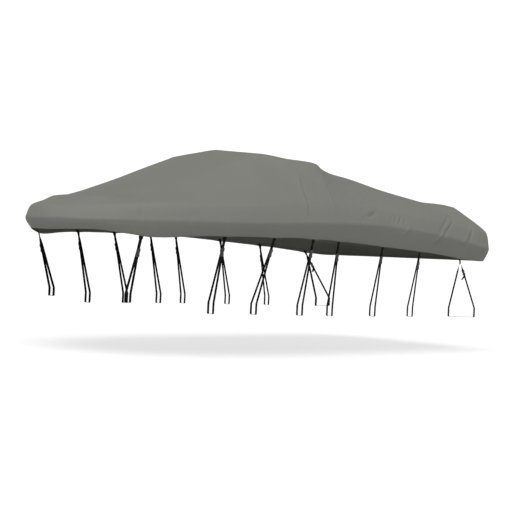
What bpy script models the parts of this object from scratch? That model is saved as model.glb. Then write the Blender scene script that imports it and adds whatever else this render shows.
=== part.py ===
"""A fitted cover, five metres long, with its sixteen tie-down straps.

The cover is one sewn sheet of canvas, drawn tight to a pointed nose, a peak and a square tail,
and it is hollow and open below. Under its widest line, the knuckle, its skirt turns in and ends
in a hem. Each side has eight black webbing tabs sewn inside the hem. A lead runs from each
tab to a buckle, and a strap goes from the tab down, round its foot, and back up to the buckle.

The tables below are a table of offsets, as a sailmaker would write one: x is measured aft
from the nose, y out from the centreline and z up from the ground. The model's own frame has
its origin under the cover's peak, with +X aft, +Y to starboard and +Z up.
"""

import math

import bmesh
import bpy
import numpy as np
from mathutils import Vector

# Driving dimensions, in metres
CLOTH = 0.002            # canvas with its coating, as a sheet
PEAK_X = 1.93            # the peak, aft of the nose
PEAK_Z = 1.857           # top of the cloth at the peak, above the ground
GAP = 0.0004             # left between pieces that touch

SIDE_SAG = 0.004         # how far the taut side hangs inside a straight line
SAG_WAY = (0.0, -1.0, -0.5)     # in and a little down
HEM_DIP = 0.005          # how far a strap draws the hem down
HEM_DIP_REACH = 0.07     # half length of hem that a strap draws down

WEB_WIDE = 0.025         # strap webbing
WEB_THICK = 0.0018
TAB_WIDE = 0.038         # tab webbing
TAB_THICK = 0.0028
TAB_INSIDE = 0.024       # part of the tab that is sewn inside the hem
TAB_BEND = 0.003         # from the hem down to where the tab turns towards its strap
TAB_OUT = 0.034          # part of the tab below that bend, down to its lead
TAB_TAPER = (0.016, 0.94)       # where its sides start to draw in, and its share of width there
TAB_CLEAR = 0.002        # flat length of hem past each side of a tab
SEWN_LAP = 0.020         # strap's end sewn behind the tab
LEAD_STRAIGHT = 0.008    # the lead's last part before the buckle, which doesn't twist

BUCKLE_LONG = 0.072
BUCKLE_WIDE = 0.034
BUCKLE_WAIST = 0.029
BUCKLE_THICK = 0.011
BUCKLE_EDGE = (0.002, 0.0015)   # how much narrower and thinner its ends are
BUCKLE_STATIONS = (      # along the buckle, and whether it is at its end, full width or waist
    (0.0, "end"), (0.004, "full"), (0.026, "full"), (0.032, "waist"),
    (0.046, "waist"), (0.052, "full"), (0.068, "full"), (BUCKLE_LONG, "end"),
)
POCKET_DEEP = 0.012      # how far webbing enters the buckle
CORNER = 0.009           # strap's bend at each corner of its foot
CORNER_STEPS = 3
TURN_RADIUS = 0.0016     # centre of the webbing where a tail turns back in its buckle
TURN_ANGLES = (-90.0, -45.0, 0.0, 45.0, 90.0)
TAIL_ENTRY = 0.012       # straight webbing before and after the turn
TAIL_EXIT = 0.014
TAIL_BEND = (0.006, 0.006)      # off the leg and along it, where the tail leaves the buckle
TAIL_MIDDLE = (0.6, 0.014)      # share of the tail's length off the leg, and along it
TAIL_RISE = 0.017        # the tail's tip, along the leg

# How far each bend of a section reaches, as a share of the stretch that it belongs to
LEAVE_KNUCKLE, REACH_SIDE = 0.9, 0.8
LEAVE_SIDE, REACH_SHOULDER = 0.55, 0.30
LEAVE_SHOULDER, REACH_CROWN = 0.25, 0.6

# Rows of the edge, from the nose round to the middle of the tail.
# knuckle: the line where the skirt turns under; tuck and drop: from there in and down to the
# hem; inset and rise: from there in and up to the foot of the side; shoulder: where the side
# turns into the top; crown: the top on the centreline; round: how softly it turns at both,
# from a crease at 0 to twice the usual at 2.
EDGE_ROWS = (
    # knuckle x, y, z      tuck   drop   inset  rise   shoulder x, y, z      crown x, z    round
    (0.000, 0.000, 1.103, 0.055, 0.090, 0.045, 0.105, 0.170, 0.000, 1.264, 0.170, 1.264, 1.4),
    (0.040, 0.220, 1.103, 0.055, 0.085, 0.045, 0.105, 0.210, 0.140, 1.270, 0.200, 1.275, 1.4),
    (0.170, 0.475, 1.105, 0.058, 0.080, 0.044, 0.108, 0.330, 0.310, 1.308, 0.320, 1.314, 1.1),
    (0.360, 0.680, 1.112, 0.065, 0.110, 0.032, 0.125, 0.570, 0.390, 1.328, 0.560, 1.356, 1.5),
    (0.570, 0.820, 1.121, 0.070, 0.132, 0.035, 0.130, 0.800, 0.450, 1.404, 0.800, 1.440, 1.9),
    (0.830, 0.930, 1.133, 0.066, 0.121, 0.038, 0.135, 1.040, 0.500, 1.480, 1.040, 1.526, 2.0),
    (1.080, 1.015, 1.143, 0.062, 0.113, 0.040, 0.140, 1.260, 0.530, 1.556, 1.260, 1.608, 2.0),
    (1.370, 1.080, 1.155, 0.060, 0.115, 0.045, 0.145, 1.500, 0.530, 1.652, 1.500, 1.698, 1.8),
    (1.720, 1.120, 1.176, 0.060, 0.123, 0.050, 0.150, 1.790, 0.530, 1.762, 1.780, 1.798, 1.2),
    (1.960, 1.133, 1.193, 0.062, 0.131, 0.055, 0.150, 1.940, 0.560, 1.808, 1.930, 1.857, 0.2),
    (2.200, 1.140, 1.207, 0.064, 0.143, 0.060, 0.150, 2.150, 0.690, 1.780, 2.190, 1.814, 0.5),
    (2.460, 1.143, 1.219, 0.066, 0.156, 0.060, 0.150, 2.465, 0.795, 1.752, 2.450, 1.789, 0.4),
    (2.520, 1.144, 1.221, 0.067, 0.160, 0.060, 0.150, 2.505, 0.798, 1.727, 2.510, 1.784, 0.5),
    (2.620, 1.146, 1.225, 0.068, 0.166, 0.060, 0.150, 2.580, 0.800, 1.704, 2.600, 1.780, 0.7),
    (3.000, 1.150, 1.233, 0.070, 0.184, 0.060, 0.150, 3.000, 0.800, 1.657, 3.000, 1.738, 1.0),
    (3.400, 1.150, 1.226, 0.072, 0.190, 0.060, 0.150, 3.420, 0.800, 1.602, 3.420, 1.685, 1.0),
    (3.900, 1.145, 1.203, 0.076, 0.183, 0.060, 0.155, 3.900, 0.800, 1.556, 3.900, 1.630, 1.0),
    (4.300, 1.135, 1.172, 0.080, 0.174, 0.058, 0.165, 4.260, 0.795, 1.530, 4.240, 1.597, 1.0),
    (4.620, 1.118, 1.142, 0.080, 0.163, 0.055, 0.170, 4.560, 0.785, 1.538, 4.480, 1.585, 1.0),
    (4.880, 1.092, 1.113, 0.072, 0.141, 0.050, 0.172, 4.690, 0.785, 1.530, 4.590, 1.577, 1.0),
    (5.030, 1.055, 1.104, 0.060, 0.128, 0.044, 0.180, 4.740, 0.775, 1.528, 4.640, 1.570, 1.0),
    (5.095, 1.012, 1.101, 0.056, 0.124, 0.040, 0.185, 4.760, 0.745, 1.528, 4.660, 1.566, 1.0),
    (5.125, 0.930, 1.099, 0.064, 0.122, 0.044, 0.192, 4.770, 0.670, 1.532, 4.690, 1.562, 1.0),
    (5.138, 0.680, 1.098, 0.078, 0.120, 0.045, 0.195, 4.780, 0.480, 1.538, 4.730, 1.556, 1.0),
    (5.142, 0.350, 1.098, 0.078, 0.120, 0.045, 0.200, 4.790, 0.250, 1.545, 4.770, 1.550, 1.0),
    (5.142, 0.000, 1.098, 0.078, 0.120, 0.045, 0.200, 4.795, 0.000, 1.547, 4.795, 1.547, 1.0),
)
KNUCKLE = slice(0, 3)
SHOULDER = slice(7, 10)

# Straps of one side, front to back.
# tab x: the hem's tab; foot x, in and out: where the strap's two legs stand, as distances from
# the centreline; top and bottom: the foot's height; lead: from the tab to the buckle; spread:
# how far aft the outer leg stands of the inner one; tail: the strap's free end past its buckle.
STRAP_ROWS = (
    # tab x  foot x  in     out    top    bottom lead   spread tail
    (0.470, 0.515, 0.475, 0.535, 0.520, 0.450, 0.070, 0.000, 0.000),
    (1.135, 1.165, 0.780, 0.840, 0.475, 0.382, 0.060, 0.000, 0.000),
    (1.648, 1.650, 0.815, 0.876, 0.475, 0.382, 0.066, 0.000, 0.000),
    (2.135, 2.160, 0.900, 0.960, 0.475, 0.382, 0.058, 0.000, 0.000),
    (2.485, 2.530, 0.940, 1.000, 0.475, 0.382, 0.072, 0.000, 0.000),
    (3.140, 3.175, 0.935, 0.995, 0.475, 0.382, 0.052, 0.000, 0.000),
    (3.755, 3.790, 0.930, 0.990, 0.475, 0.382, 0.064, 0.000, 0.000),
    (4.500, 4.560, 0.900, 0.990, 0.475, 0.382, 0.104, 0.345, 0.050),
)

# Folds of each side, as soft ridges (+) or troughs (-) from one point to another; x aft and
# z up, as above. The deep ones run from the tail's corner forward and down to the knuckle.
FOLD_FADE = 0.15         # share of a fold's length over which it fades past its ends
PORT_FOLDS = (
    # from x, z    to x, z       half width  height
    (4.47, 1.445, 4.05, 1.290, 0.042, -0.013),
    (4.05, 1.290, 3.95, 1.145, 0.040, -0.010),
    (4.44, 1.495, 4.00, 1.355, 0.045, 0.005),
    (4.60, 1.420, 4.17, 1.225, 0.045, 0.008),
    (4.70, 1.365, 4.50, 1.165, 0.042, -0.010),
    (4.80, 1.360, 4.60, 1.165, 0.048, 0.006),
    (3.40, 1.350, 3.25, 1.255, 0.060, -0.006),
    (3.54, 1.265, 3.41, 1.155, 0.055, -0.006),
    (2.80, 1.300, 2.98, 1.370, 0.065, -0.008),
    (2.16, 1.630, 1.98, 1.240, 0.090, -0.005),
    (2.39, 1.640, 2.37, 1.255, 0.080, -0.005),
    (0.43, 1.230, 0.42, 1.120, 0.060, -0.003),
)
STARBOARD_FOLDS = (
    (4.55, 1.460, 4.00, 1.235, 0.055, -0.010),
    (4.66, 1.400, 4.30, 1.210, 0.050, -0.008),
    (4.60, 1.430, 4.16, 1.225, 0.050, 0.006),
    (3.44, 1.340, 3.25, 1.220, 0.070, -0.005),
    (2.30, 1.600, 2.22, 1.250, 0.090, -0.005),
)

# Mesh steps
ROW_STEP = 0.110         # along the edge
FOLD_STEP = 0.042        # along the edge where the folds are
FOLD_ZONE = (3.55, 4.95)
ROW_APART = 0.015        # least distance of another row from a tab's own pair
ACROSS = (2, 2, 5, 3)    # hem to knuckle, to side, to shoulder, to crown
TWIST_STEP = 15.0        # degrees of a ribbon's twist in one step
SIDE_START, SIDE_END = 0.2, 0.9    # length of edge at the nose and tail that has no tab
HALVINGS = 40            # of that stretch, to find a tab's place
MERGE = 1e-5             # where both sides meet on the centreline

COLOURS = {
    "canvas": ((0.223, 0.226, 0.202, 1.0), 0.85, 0.0),
    "webbing": ((0.010, 0.010, 0.011, 1.0), 0.80, 0.0),
    "acetal": ((0.012, 0.012, 0.013, 1.0), 0.38, 0.0),
}


def to_model(point):
    """Turn a point of the tables into the model's own frame."""
    return Vector((point[0] - PEAK_X, point[1], point[2] - PEAK_Z + CLOTH))


def material(name):
    """Return a plain material of the named colour, roughness and metallic value."""
    found = bpy.data.materials.get(name)
    if found:
        return found
    colour, roughness, metallic = COLOURS[name]
    made = bpy.data.materials.new(name)
    made.use_nodes = True
    shader = made.node_tree.nodes["Principled BSDF"]
    shader.inputs["Base Color"].default_value = colour
    shader.inputs["Roughness"].default_value = roughness
    shader.inputs["Metallic"].default_value = metallic
    made.diffuse_color = colour
    return made


def add_object(name, bm, finish):
    """Make a named object of a bmesh, with its faces pointing out."""
    bmesh.ops.recalc_face_normals(bm, faces=bm.faces)
    mesh = bpy.data.meshes.new(name)
    bm.to_mesh(mesh)
    bm.free()
    mesh.materials.append(material(finish))
    made = bpy.data.objects.new(name, mesh)
    bpy.context.scene.collection.objects.link(made)
    return made


class EdgeCurve:
    """The rows of the edge as smooth curves of the distance along the knuckle."""

    MIRRORED = (1, 8)    # the y columns, which change sign across the centreline
    STEP = 0.004         # for the edge's direction

    def __init__(self, rows):
        table = np.array(rows)
        steps = np.linalg.norm(np.diff(table[:, :2], axis=0), axis=1)
        along = np.concatenate(([0.0], np.cumsum(steps)))
        self.length = along[-1]
        sign = np.ones(table.shape[1])
        sign[list(self.MIRRORED)] = -1.0
        before = table[2:0:-1] * sign
        after = table[-2:-4:-1] * sign
        self.table = np.vstack((before, table, after))
        self.along = np.concatenate((-along[2:0:-1], along, 2.0 * self.length - along[-2:-4:-1]))
        slopes = np.diff(self.table, axis=0) / np.diff(self.along)[:, None]
        gaps = np.diff(self.along)
        weight = (gaps[1:] / (gaps[1:] + gaps[:-1]))[:, None]
        inner = slopes[:-1] * weight + slopes[1:] * (1.0 - weight)
        self.tangent = np.vstack((slopes[:1], inner, slopes[-1:]))

    def at(self, distance):
        """Return the row of values at a distance along the knuckle."""
        i = int(np.clip(np.searchsorted(self.along, distance) - 1, 0, len(self.along) - 2))
        span = self.along[i + 1] - self.along[i]
        t = (distance - self.along[i]) / span
        return hermite(self.table[i], self.table[i + 1],
                       self.tangent[i] * span, self.tangent[i + 1] * span, t)

    def inward(self, distance):
        """Return the level unit vector that points in from the knuckle."""
        ahead = self.at(distance + self.STEP)[KNUCKLE] - self.at(distance - self.STEP)[KNUCKLE]
        across = np.array((ahead[1], -ahead[0], 0.0))
        return across / np.linalg.norm(across)


def hermite(a, b, tangent_a, tangent_b, t):
    """Return the point at t on the cubic from a to b with the given end tangents."""
    t2 = t * t
    t3 = t2 * t
    return ((2 * t3 - 3 * t2 + 1) * a + (t3 - 2 * t2 + t) * tangent_a
            + (3 * t2 - 2 * t3) * b + (t3 - t2) * tangent_b)


def unit(vector):
    """Return a vector at length one, or the zero vector as it is."""
    size = np.linalg.norm(vector)
    return vector / size if size > 1e-9 else vector


class Section:
    """One half section of the cover, from the hem over the knuckle to the crown."""

    def __init__(self, edge, distance):
        row = edge.at(distance)
        tuck, drop, inset, rise = row[3:7]
        inward = edge.inward(distance)
        up = np.array((0.0, 0.0, 1.0))
        self.knuckle = row[KNUCKLE]
        self.hem = self.knuckle + inward * tuck - up * (drop + self.dip(row[0]))
        self.side_low = self.knuckle + inward * inset + up * rise
        self.shoulder = row[SHOULDER]
        self.crown = np.array((row[10], 0.0, row[11]))
        self.round = row[12]

    @staticmethod
    def dip(x):
        """How far the straps draw the hem down at a distance aft."""
        pull = 0.0
        for strap in STRAP_ROWS:
            pull += math.exp(-((x - strap[0]) / HEM_DIP_REACH) ** 2)
        return HEM_DIP * min(pull, 1.0)

    def point(self, part, t):
        """Return the point at t, 0 to 1, in a part: 0 skirt, 1 to the side, 2 side, 3 top."""
        low, high = self.side_low - self.knuckle, self.shoulder - self.side_low
        over = self.crown - self.shoulder
        turn_low = unit(unit(low) + unit(high))
        turn_high = unit(unit(high) + unit(over))
        if part == 0:
            return self.hem + (self.knuckle - self.hem) * t
        if part == 1:
            size = np.linalg.norm(low)
            return hermite(self.knuckle, self.side_low, low * LEAVE_KNUCKLE,
                           turn_low * size * REACH_SIDE, t)
        if part == 2:
            size = np.linalg.norm(high)
            bent = hermite(self.side_low, self.shoulder, turn_low * size * LEAVE_SIDE,
                           turn_high * size * REACH_SHOULDER * self.round, t)
            return bent + np.array(SAG_WAY) * 16.0 * (t * (1.0 - t)) ** 2 * SIDE_SAG
        size = np.linalg.norm(over)
        level = np.array((over[0], over[1], 0.0))
        return hermite(self.shoulder, self.crown, turn_high * size * LEAVE_SHOULDER * self.round,
                       level * REACH_CROWN * min(self.round, 1.0), t)


def fold_height(point, side):
    """Return how far the folds of a side lift the cloth at a point of the tables."""
    lift = 0.0
    for x0, z0, x1, z1, half, height in (PORT_FOLDS if side < 0 else STARBOARD_FOLDS):
        run = np.array((x1 - x0, z1 - z0))
        from_start = np.array((point[0] - x0, point[2] - z0))
        t = float(from_start @ run / (run @ run))
        off = float(from_start[0] * run[1] - from_start[1] * run[0]) / np.linalg.norm(run)
        inside = min(max(t, 0.0), 1.0)
        end = abs(t - inside) * np.linalg.norm(run)
        shown = (t + FOLD_FADE) / (1.0 + 2.0 * FOLD_FADE)
        fade = math.sin(math.pi * min(max(shown, 0.0), 1.0))
        lift += height * fade * math.exp(-(off / half) ** 2 - (end / half) ** 2)
    return lift


def edge_stops(edge):
    """Return the distances of the mesh's rows along the knuckle, with a pair at each tab."""
    stops = []
    marks = [mark for mark in edge.along if 0.0 <= mark <= edge.length + 1e-9]
    for first, second in zip(marks[:-1], marks[1:]):
        x = edge.at(0.5 * (first + second))[0]
        step = FOLD_STEP if FOLD_ZONE[0] < x < FOLD_ZONE[1] else ROW_STEP
        count = max(1, math.ceil((second - first) / step))
        stops += [first + (second - first) * k / count for k in range(count)]
    stops.append(edge.length)
    for strap in STRAP_ROWS:
        middle = distance_at_hem(edge, strap[0])
        reach = TAB_WIDE * 0.5 + TAB_CLEAR
        stops = [s for s in stops if abs(s - middle) > reach + ROW_APART]
        stops += [middle - reach, middle + reach]
    return sorted(stops)


def distance_at_hem(edge, x):
    """Return the distance along the knuckle where the hem is at x aft of the nose."""
    low, high = SIDE_START, edge.length - SIDE_END
    for _ in range(HALVINGS):
        middle = 0.5 * (low + high)
        if Section(edge, middle).hem[0] < x:
            low = middle
        else:
            high = middle
    return 0.5 * (low + high)


def section_points(section, side):
    """Return the points of a half section on one side, hem to crown."""
    points = []
    for part, count in enumerate(ACROSS):
        for k in range(count):
            points.append(section.point(part, k / count))
    points.append(section.crown)
    return [point * np.array((1.0, side, 1.0)) for point in points]


def make_cover(edge):
    """Make the cover's sheet: its outer face as a grid, thickened inwards."""
    bm = bmesh.new()
    grid = []
    for stop in edge_stops(edge):
        section = Section(edge, stop)
        port = section_points(section, -1.0)
        starboard = section_points(section, 1.0)[:-1]
        line = port + starboard[::-1]
        grid.append([bm.verts.new(to_model(point)) for point in line])
    for ahead, behind in zip(grid[:-1], grid[1:]):
        for k in range(len(ahead) - 1):
            bm.faces.new((ahead[k], ahead[k + 1], behind[k + 1], behind[k]))
    bmesh.ops.remove_doubles(bm, verts=bm.verts, dist=MERGE)
    bmesh.ops.recalc_face_normals(bm, faces=bm.faces)
    top = max(bm.faces, key=lambda face: face.calc_center_median().z)
    if top.normal.z < 0.0:
        bmesh.ops.reverse_faces(bm, faces=bm.faces)
    shape_folds(bm)
    bmesh.ops.triangulate(bm, faces=bm.faces)
    mesh = bpy.data.meshes.new("cover")
    bm.to_mesh(mesh)
    bm.free()
    mesh.materials.append(material("canvas"))
    mesh.shade_smooth()
    cover = bpy.data.objects.new("cover", mesh)
    bpy.context.scene.collection.objects.link(cover)
    sheet = cover.modifiers.new("sheet", "SOLIDIFY")
    sheet.thickness = CLOTH
    sheet.offset = -1.0
    sheet.use_even_offset = False
    return cover


def shape_folds(bm):
    """Push the cloth out and in along its folds."""
    bm.normal_update()
    moves = []
    for vert in bm.verts:
        here = (vert.co.x + PEAK_X, vert.co.y, vert.co.z + PEAK_Z - CLOTH)
        lift = fold_height(here, -1.0 if vert.co.y < 0.0 else 1.0)
        moves.append(vert.normal * lift)
    for vert, move in zip(bm.verts, moves):
        vert.co += move


def twist_between(rings):
    """Add rings where the width direction turns, so that each step turns a little."""
    full = [rings[0]]
    for ring in rings[1:]:
        point, wide, across = full[-1]
        turn = across.angle(ring[2])
        count = max(1, math.ceil(math.degrees(turn) / TWIST_STEP))
        for k in range(1, count):
            t = k / count
            mixed = (across * math.sin((1 - t) * turn) + ring[2] * math.sin(t * turn))
            full.append((point.lerp(ring[0], t), wide + (ring[1] - wide) * t,
                         mixed.normalized()))
        full.append(ring)
    return full


def sweep_ribbon(name, rings, thick, finish):
    """Make a flat ribbon through rings of (point, width, direction of the width)."""
    bm = bmesh.new()
    rings = twist_between(rings)
    loops = []
    for i, (point, wide, across) in enumerate(rings):
        before = (point - rings[i - 1][0]).normalized() if i else None
        after = (rings[i + 1][0] - point).normalized() if i < len(rings) - 1 else None
        ahead = before or after
        stretch = 1.0
        if before and after:
            ahead = (before + after).normalized()
            stretch = 1.0 / ahead.dot(after)
        face = ahead.cross(across).normalized() * thick * 0.5 * stretch
        side = across * wide * 0.5
        loops.append([bm.verts.new(point + side + face), bm.verts.new(point - side + face),
                      bm.verts.new(point - side - face), bm.verts.new(point + side - face)])
    for first, second in zip(loops[:-1], loops[1:]):
        # Both wide faces split along the same diagonal, so that a twist keeps its thickness
        bm.faces.new((first[0], first[1], second[1]))
        bm.faces.new((first[0], second[1], second[0]))
        bm.faces.new((first[1], first[2], second[2]))
        bm.faces.new((first[1], second[2], second[1]))
        bm.faces.new((first[2], first[3], second[2]))
        bm.faces.new((first[3], second[3], second[2]))
        bm.faces.new((first[3], first[0], second[0]))
        bm.faces.new((first[3], second[0], second[3]))
    bm.faces.new(loops[0])
    bm.faces.new(loops[-1])
    bmesh.ops.triangulate(bm, faces=[face for face in bm.faces if len(face.verts) > 3])
    return add_object(name, bm, finish)


def round_corner(before, corner, after):
    """Return the points of an arc that rounds a corner of a path."""
    start = (before - corner).normalized()
    end = (after - corner).normalized()
    half = start.angle(end) * 0.5
    cut = CORNER / math.tan(half)
    middle = corner + (start + end).normalized() * CORNER / math.sin(half)
    first = corner + start * cut - middle
    last = corner + end * cut - middle
    turn = first.angle(last)
    points = []
    for k in range(CORNER_STEPS + 1):
        t = k / CORNER_STEPS
        mixed = (first * math.sin((1 - t) * turn) + last * math.sin(t * turn)) / math.sin(turn)
        points.append(middle + mixed)
    return points


class StrapSet:
    """A tab with its lead, a buckle and a strap, at one place on the hem."""

    def __init__(self, edge, number, side):
        (tab_x, foot_x, foot_in, foot_out, top, bottom,
         self.lead, spread, self.tail) = STRAP_ROWS[number - 1]
        self.label = ("port_" if side < 0 else "starboard_") + str(number)
        self.side = side
        self.low = top - bottom
        middle = distance_at_hem(edge, tab_x)
        self.knuckle = self.place(Section(edge, middle).knuckle)
        reach = TAB_WIDE * 0.5 + TAB_CLEAR
        ahead = self.place(Section(edge, middle + reach).hem)
        behind = self.place(Section(edge, middle - reach).hem)
        self.along_hem = (ahead - behind).normalized()
        self.hem = (ahead + behind) * 0.5
        self.foot_inner = self.place((foot_x, foot_in, top))
        self.foot_outer = self.place((foot_x + spread, foot_out, top))
        level = self.foot_outer - self.foot_inner
        self.across = level.cross(Vector((0.0, 0.0, 1.0))).normalized()
        if self.across.dot(self.along_hem) < 0.0:
            self.across = -self.across

    def place(self, point):
        """Return a point of the tables on this set's side of the model."""
        return to_model((point[0], point[1] * self.side, point[2]))

    def inboard(self, direction):
        """Return a direction turned so that it points to the centreline."""
        return -direction if direction.y * self.side > 0.0 else direction

    def build(self):
        """Make the set's pieces."""
        up_skirt = (self.knuckle - self.hem).normalized()
        inward = self.inboard(up_skirt.cross(self.along_hem).normalized())
        seat = self.hem + inward * (CLOTH + GAP + TAB_THICK * 0.5)
        bend = seat - up_skirt * TAB_BEND
        aim = (self.foot_outer - bend).normalized()
        tab_end = bend + aim * TAB_OUT
        buckle_top = tab_end + aim * self.lead
        buckle_end = buckle_top + aim * BUCKLE_LONG
        sweep_ribbon("tab_" + self.label, (
            (seat + up_skirt * TAB_INSIDE, TAB_WIDE, self.along_hem),
            (bend, TAB_WIDE, self.along_hem),
            (bend + aim * TAB_TAPER[0], TAB_WIDE * TAB_TAPER[1], self.along_hem),
            (tab_end, WEB_WIDE, self.along_hem),
            (buckle_top - aim * LEAD_STRAIGHT, WEB_WIDE, self.across),
            (buckle_top + aim * (POCKET_DEEP - GAP), WEB_WIDE, self.across),
        ), TAB_THICK, "webbing")
        self.make_strap(bend, aim, buckle_end)
        self.make_buckle(buckle_top, aim)

    def make_strap(self, bend, aim, buckle_end):
        """Make the strap from the back of its tab, round its foot, to the buckle."""
        down = Vector((0.0, 0.0, -1.0))
        behind = self.inboard(aim.cross(self.along_hem).normalized())
        behind *= TAB_THICK * 0.5 + WEB_THICK * 0.5 + GAP
        start = bend + aim * (TAB_OUT - SEWN_LAP) + behind
        leave = bend + aim * TAB_OUT + behind
        inner, outer = self.foot_inner, self.foot_outer
        inner_low = inner + down * self.low
        outer_low = outer + down * self.low
        turned = leave.lerp(inner, self.lead / (inner - leave).length)
        rings = [(start, WEB_WIDE, self.along_hem), (leave, WEB_WIDE, self.along_hem)]
        points = [turned, inner]
        points += round_corner(inner, inner_low, outer_low)
        points += round_corner(inner_low, outer_low, outer)
        points += [outer]
        points += self.strap_end(aim, buckle_end)
        rings += [(point, WEB_WIDE, self.across) for point in points]
        sweep_ribbon("strap_" + self.label, rings, WEB_THICK, "webbing")

    def strap_end(self, aim, buckle_end):
        """Return the strap's last points: in its buckle, or turned back there into a tail."""
        deep = buckle_end - aim * (POCKET_DEEP - GAP)
        if self.tail == 0.0:
            return [deep]
        off = self.loop_side(aim)
        middle = deep + aim * (TURN_RADIUS + WEB_THICK * 0.5)
        points = [middle + aim * TAIL_ENTRY - off * TURN_RADIUS]
        for degrees in TURN_ANGLES:
            angle = math.radians(degrees)
            points.append(middle - aim * TURN_RADIUS * math.cos(angle)
                          + off * TURN_RADIUS * math.sin(angle))
        out = middle + off * TURN_RADIUS + aim * TAIL_EXIT
        points.append(out)
        points.append(out + off * TAIL_BEND[0] + aim * TAIL_BEND[1])
        points.append(out + off * (self.tail * TAIL_MIDDLE[0]) + aim * TAIL_MIDDLE[1])
        points.append(out + off * self.tail + aim * TAIL_RISE)
        return points

    def loop_side(self, aim):
        """Return the unit vector off the outer leg, towards the strap's other leg."""
        off = aim.cross(self.across).normalized()
        return -off if off.dot(self.foot_inner - self.foot_outer) < 0.0 else off

    def make_buckle(self, top, aim):
        """Make the buckle: a waisted body with a pocket for webbing at each end."""
        normal = aim.cross(self.across).normalized()
        half, waist, thick = BUCKLE_WIDE * 0.5, BUCKLE_WAIST * 0.5, BUCKLE_THICK * 0.5
        sizes = {
            "end": (half - BUCKLE_EDGE[0], thick - BUCKLE_EDGE[1]),
            "full": (half, thick),
            "waist": (waist, thick),
        }
        bm = bmesh.new()
        rings = []
        for along, place in BUCKLE_STATIONS:
            wide, deep = sizes[place]
            centre = top + aim * along
            rings.append([bm.verts.new(centre + self.across * wide * a + normal * deep * b)
                          for a, b in ((1, 1), (-1, 1), (-1, -1), (1, -1))])
        for first, second in zip(rings[:-1], rings[1:]):
            for k in range(4):
                bm.faces.new((first[k], first[(k + 1) % 4], second[(k + 1) % 4], second[k]))
        thick_top = TAB_THICK * 0.5 + GAP
        thick_low = WEB_THICK * 0.5 + GAP + (TURN_RADIUS if self.tail else 0.0)
        self.close_with_pocket(bm, rings[0], top, aim, normal, thick_top)
        self.close_with_pocket(bm, rings[-1], top + aim * BUCKLE_LONG, -aim, normal, thick_low)
        bmesh.ops.triangulate(bm, faces=bm.faces)
        add_object("buckle_" + self.label, bm, "acetal")

    def close_with_pocket(self, bm, ring, mouth, into, normal, thick):
        """Close a buckle's end with a pocket that takes the webbing."""
        wide = WEB_WIDE * 0.5 + GAP
        corners = ((1, 1), (-1, 1), (-1, -1), (1, -1))
        rim = []
        for a, b in corners:
            rim.append(bm.verts.new(mouth + self.across * wide * a + normal * thick * b))
        floor = [bm.verts.new(vert.co + into * POCKET_DEEP) for vert in rim]
        for k in range(4):
            n = (k + 1) % 4
            bm.faces.new((ring[k], ring[n], rim[n], rim[k]))
            bm.faces.new((rim[k], rim[n], floor[n], floor[k]))
        bm.faces.new(floor)


def clear_scene():
    """Remove the objects that the scene opens with."""
    for old in list(bpy.data.objects):
        bpy.data.objects.remove(old, do_unlink=True)


def main():
    """Build the cover and its strap sets."""
    clear_scene()
    edge = EdgeCurve(EDGE_ROWS)
    make_cover(edge)
    for side in (-1.0, 1.0):
        for number in range(1, len(STRAP_ROWS) + 1):
            StrapSet(edge, number, side).build()


main()
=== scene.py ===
"""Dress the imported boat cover: canvas shell, hem stitching, webbing tie-downs and buckles.

The canvas is lofted from the same table of offsets that its solid was cut to: x is measured
aft from the nose, y out from the centreline and z up from the ground, in metres. The frame's
origin is under the cover's peak, with +X aft, +Y to starboard and +Z up.
"""

import logging
import math
from collections.abc import Callable
from dataclasses import dataclass, field
from enum import Enum

import bmesh
import bpy
import numpy as np
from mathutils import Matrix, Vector, noise


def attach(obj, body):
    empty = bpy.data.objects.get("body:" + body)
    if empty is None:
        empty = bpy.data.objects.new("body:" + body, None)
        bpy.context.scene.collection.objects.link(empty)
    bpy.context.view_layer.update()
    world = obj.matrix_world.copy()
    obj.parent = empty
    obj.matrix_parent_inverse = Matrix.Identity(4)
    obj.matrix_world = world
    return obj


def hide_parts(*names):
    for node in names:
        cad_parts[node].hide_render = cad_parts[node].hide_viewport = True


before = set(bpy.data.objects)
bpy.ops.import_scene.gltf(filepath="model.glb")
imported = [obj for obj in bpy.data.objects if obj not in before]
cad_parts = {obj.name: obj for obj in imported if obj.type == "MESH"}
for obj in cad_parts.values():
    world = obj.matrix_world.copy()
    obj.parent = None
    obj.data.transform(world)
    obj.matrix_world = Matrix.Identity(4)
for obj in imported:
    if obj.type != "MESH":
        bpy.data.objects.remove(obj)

LOG = logging.getLogger("boat_cover")

Point = tuple[float, float, float]
Row = tuple[float, ...]
Ring = tuple[Vector, float, Vector]      # of a tape: its point, width and the width's direction
Mesh = bmesh.types.BMesh
Material = bpy.types.Material
Object = bpy.types.Object
Tree = bpy.types.NodeTree
Node = bpy.types.Node
Socket = bpy.types.NodeSocket

MIRROR = np.array((1.0, -1.0, 1.0))
FLATTEN = np.array((1.0, 0.0, 1.0))      # onto the centreline
UP = np.array((0.0, 0.0, 1.0))
MM = 1000.0                              # millimetres in a metre
WAVE_PERIOD = math.pi / 10.0             # of a wave texture at scale one, in metres
MIX_COLOURS = (6, 7)                     # the numbers of a mix node's two colour inputs


class Side(Enum):
    """The two sides of the cover, by the sign of y."""

    PORT = -1.0
    STARBOARD = 1.0

    @property
    def word(self) -> str:
        """Return the side's name as the frame's nodes spell it."""
        return self.name.lower()


class Zone(Enum):
    """The four parts of a section, hem to crown."""

    SKIRT = 0
    TURN = 1
    FLANK = 2
    TOP = 3


def linear(code: str) -> tuple[float, float, float, float]:
    """Turn six hex digits of an sRGB colour into Blender's linear colour, with an alpha of one."""
    parts = [int(code[i:i + 2], 16) / 255.0 for i in (0, 2, 4)]
    flat = [c / 12.92 if c <= 0.04045 else ((c + 0.055) / 1.055) ** 2.4 for c in parts]
    return (flat[0], flat[1], flat[2], 1.0)


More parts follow.
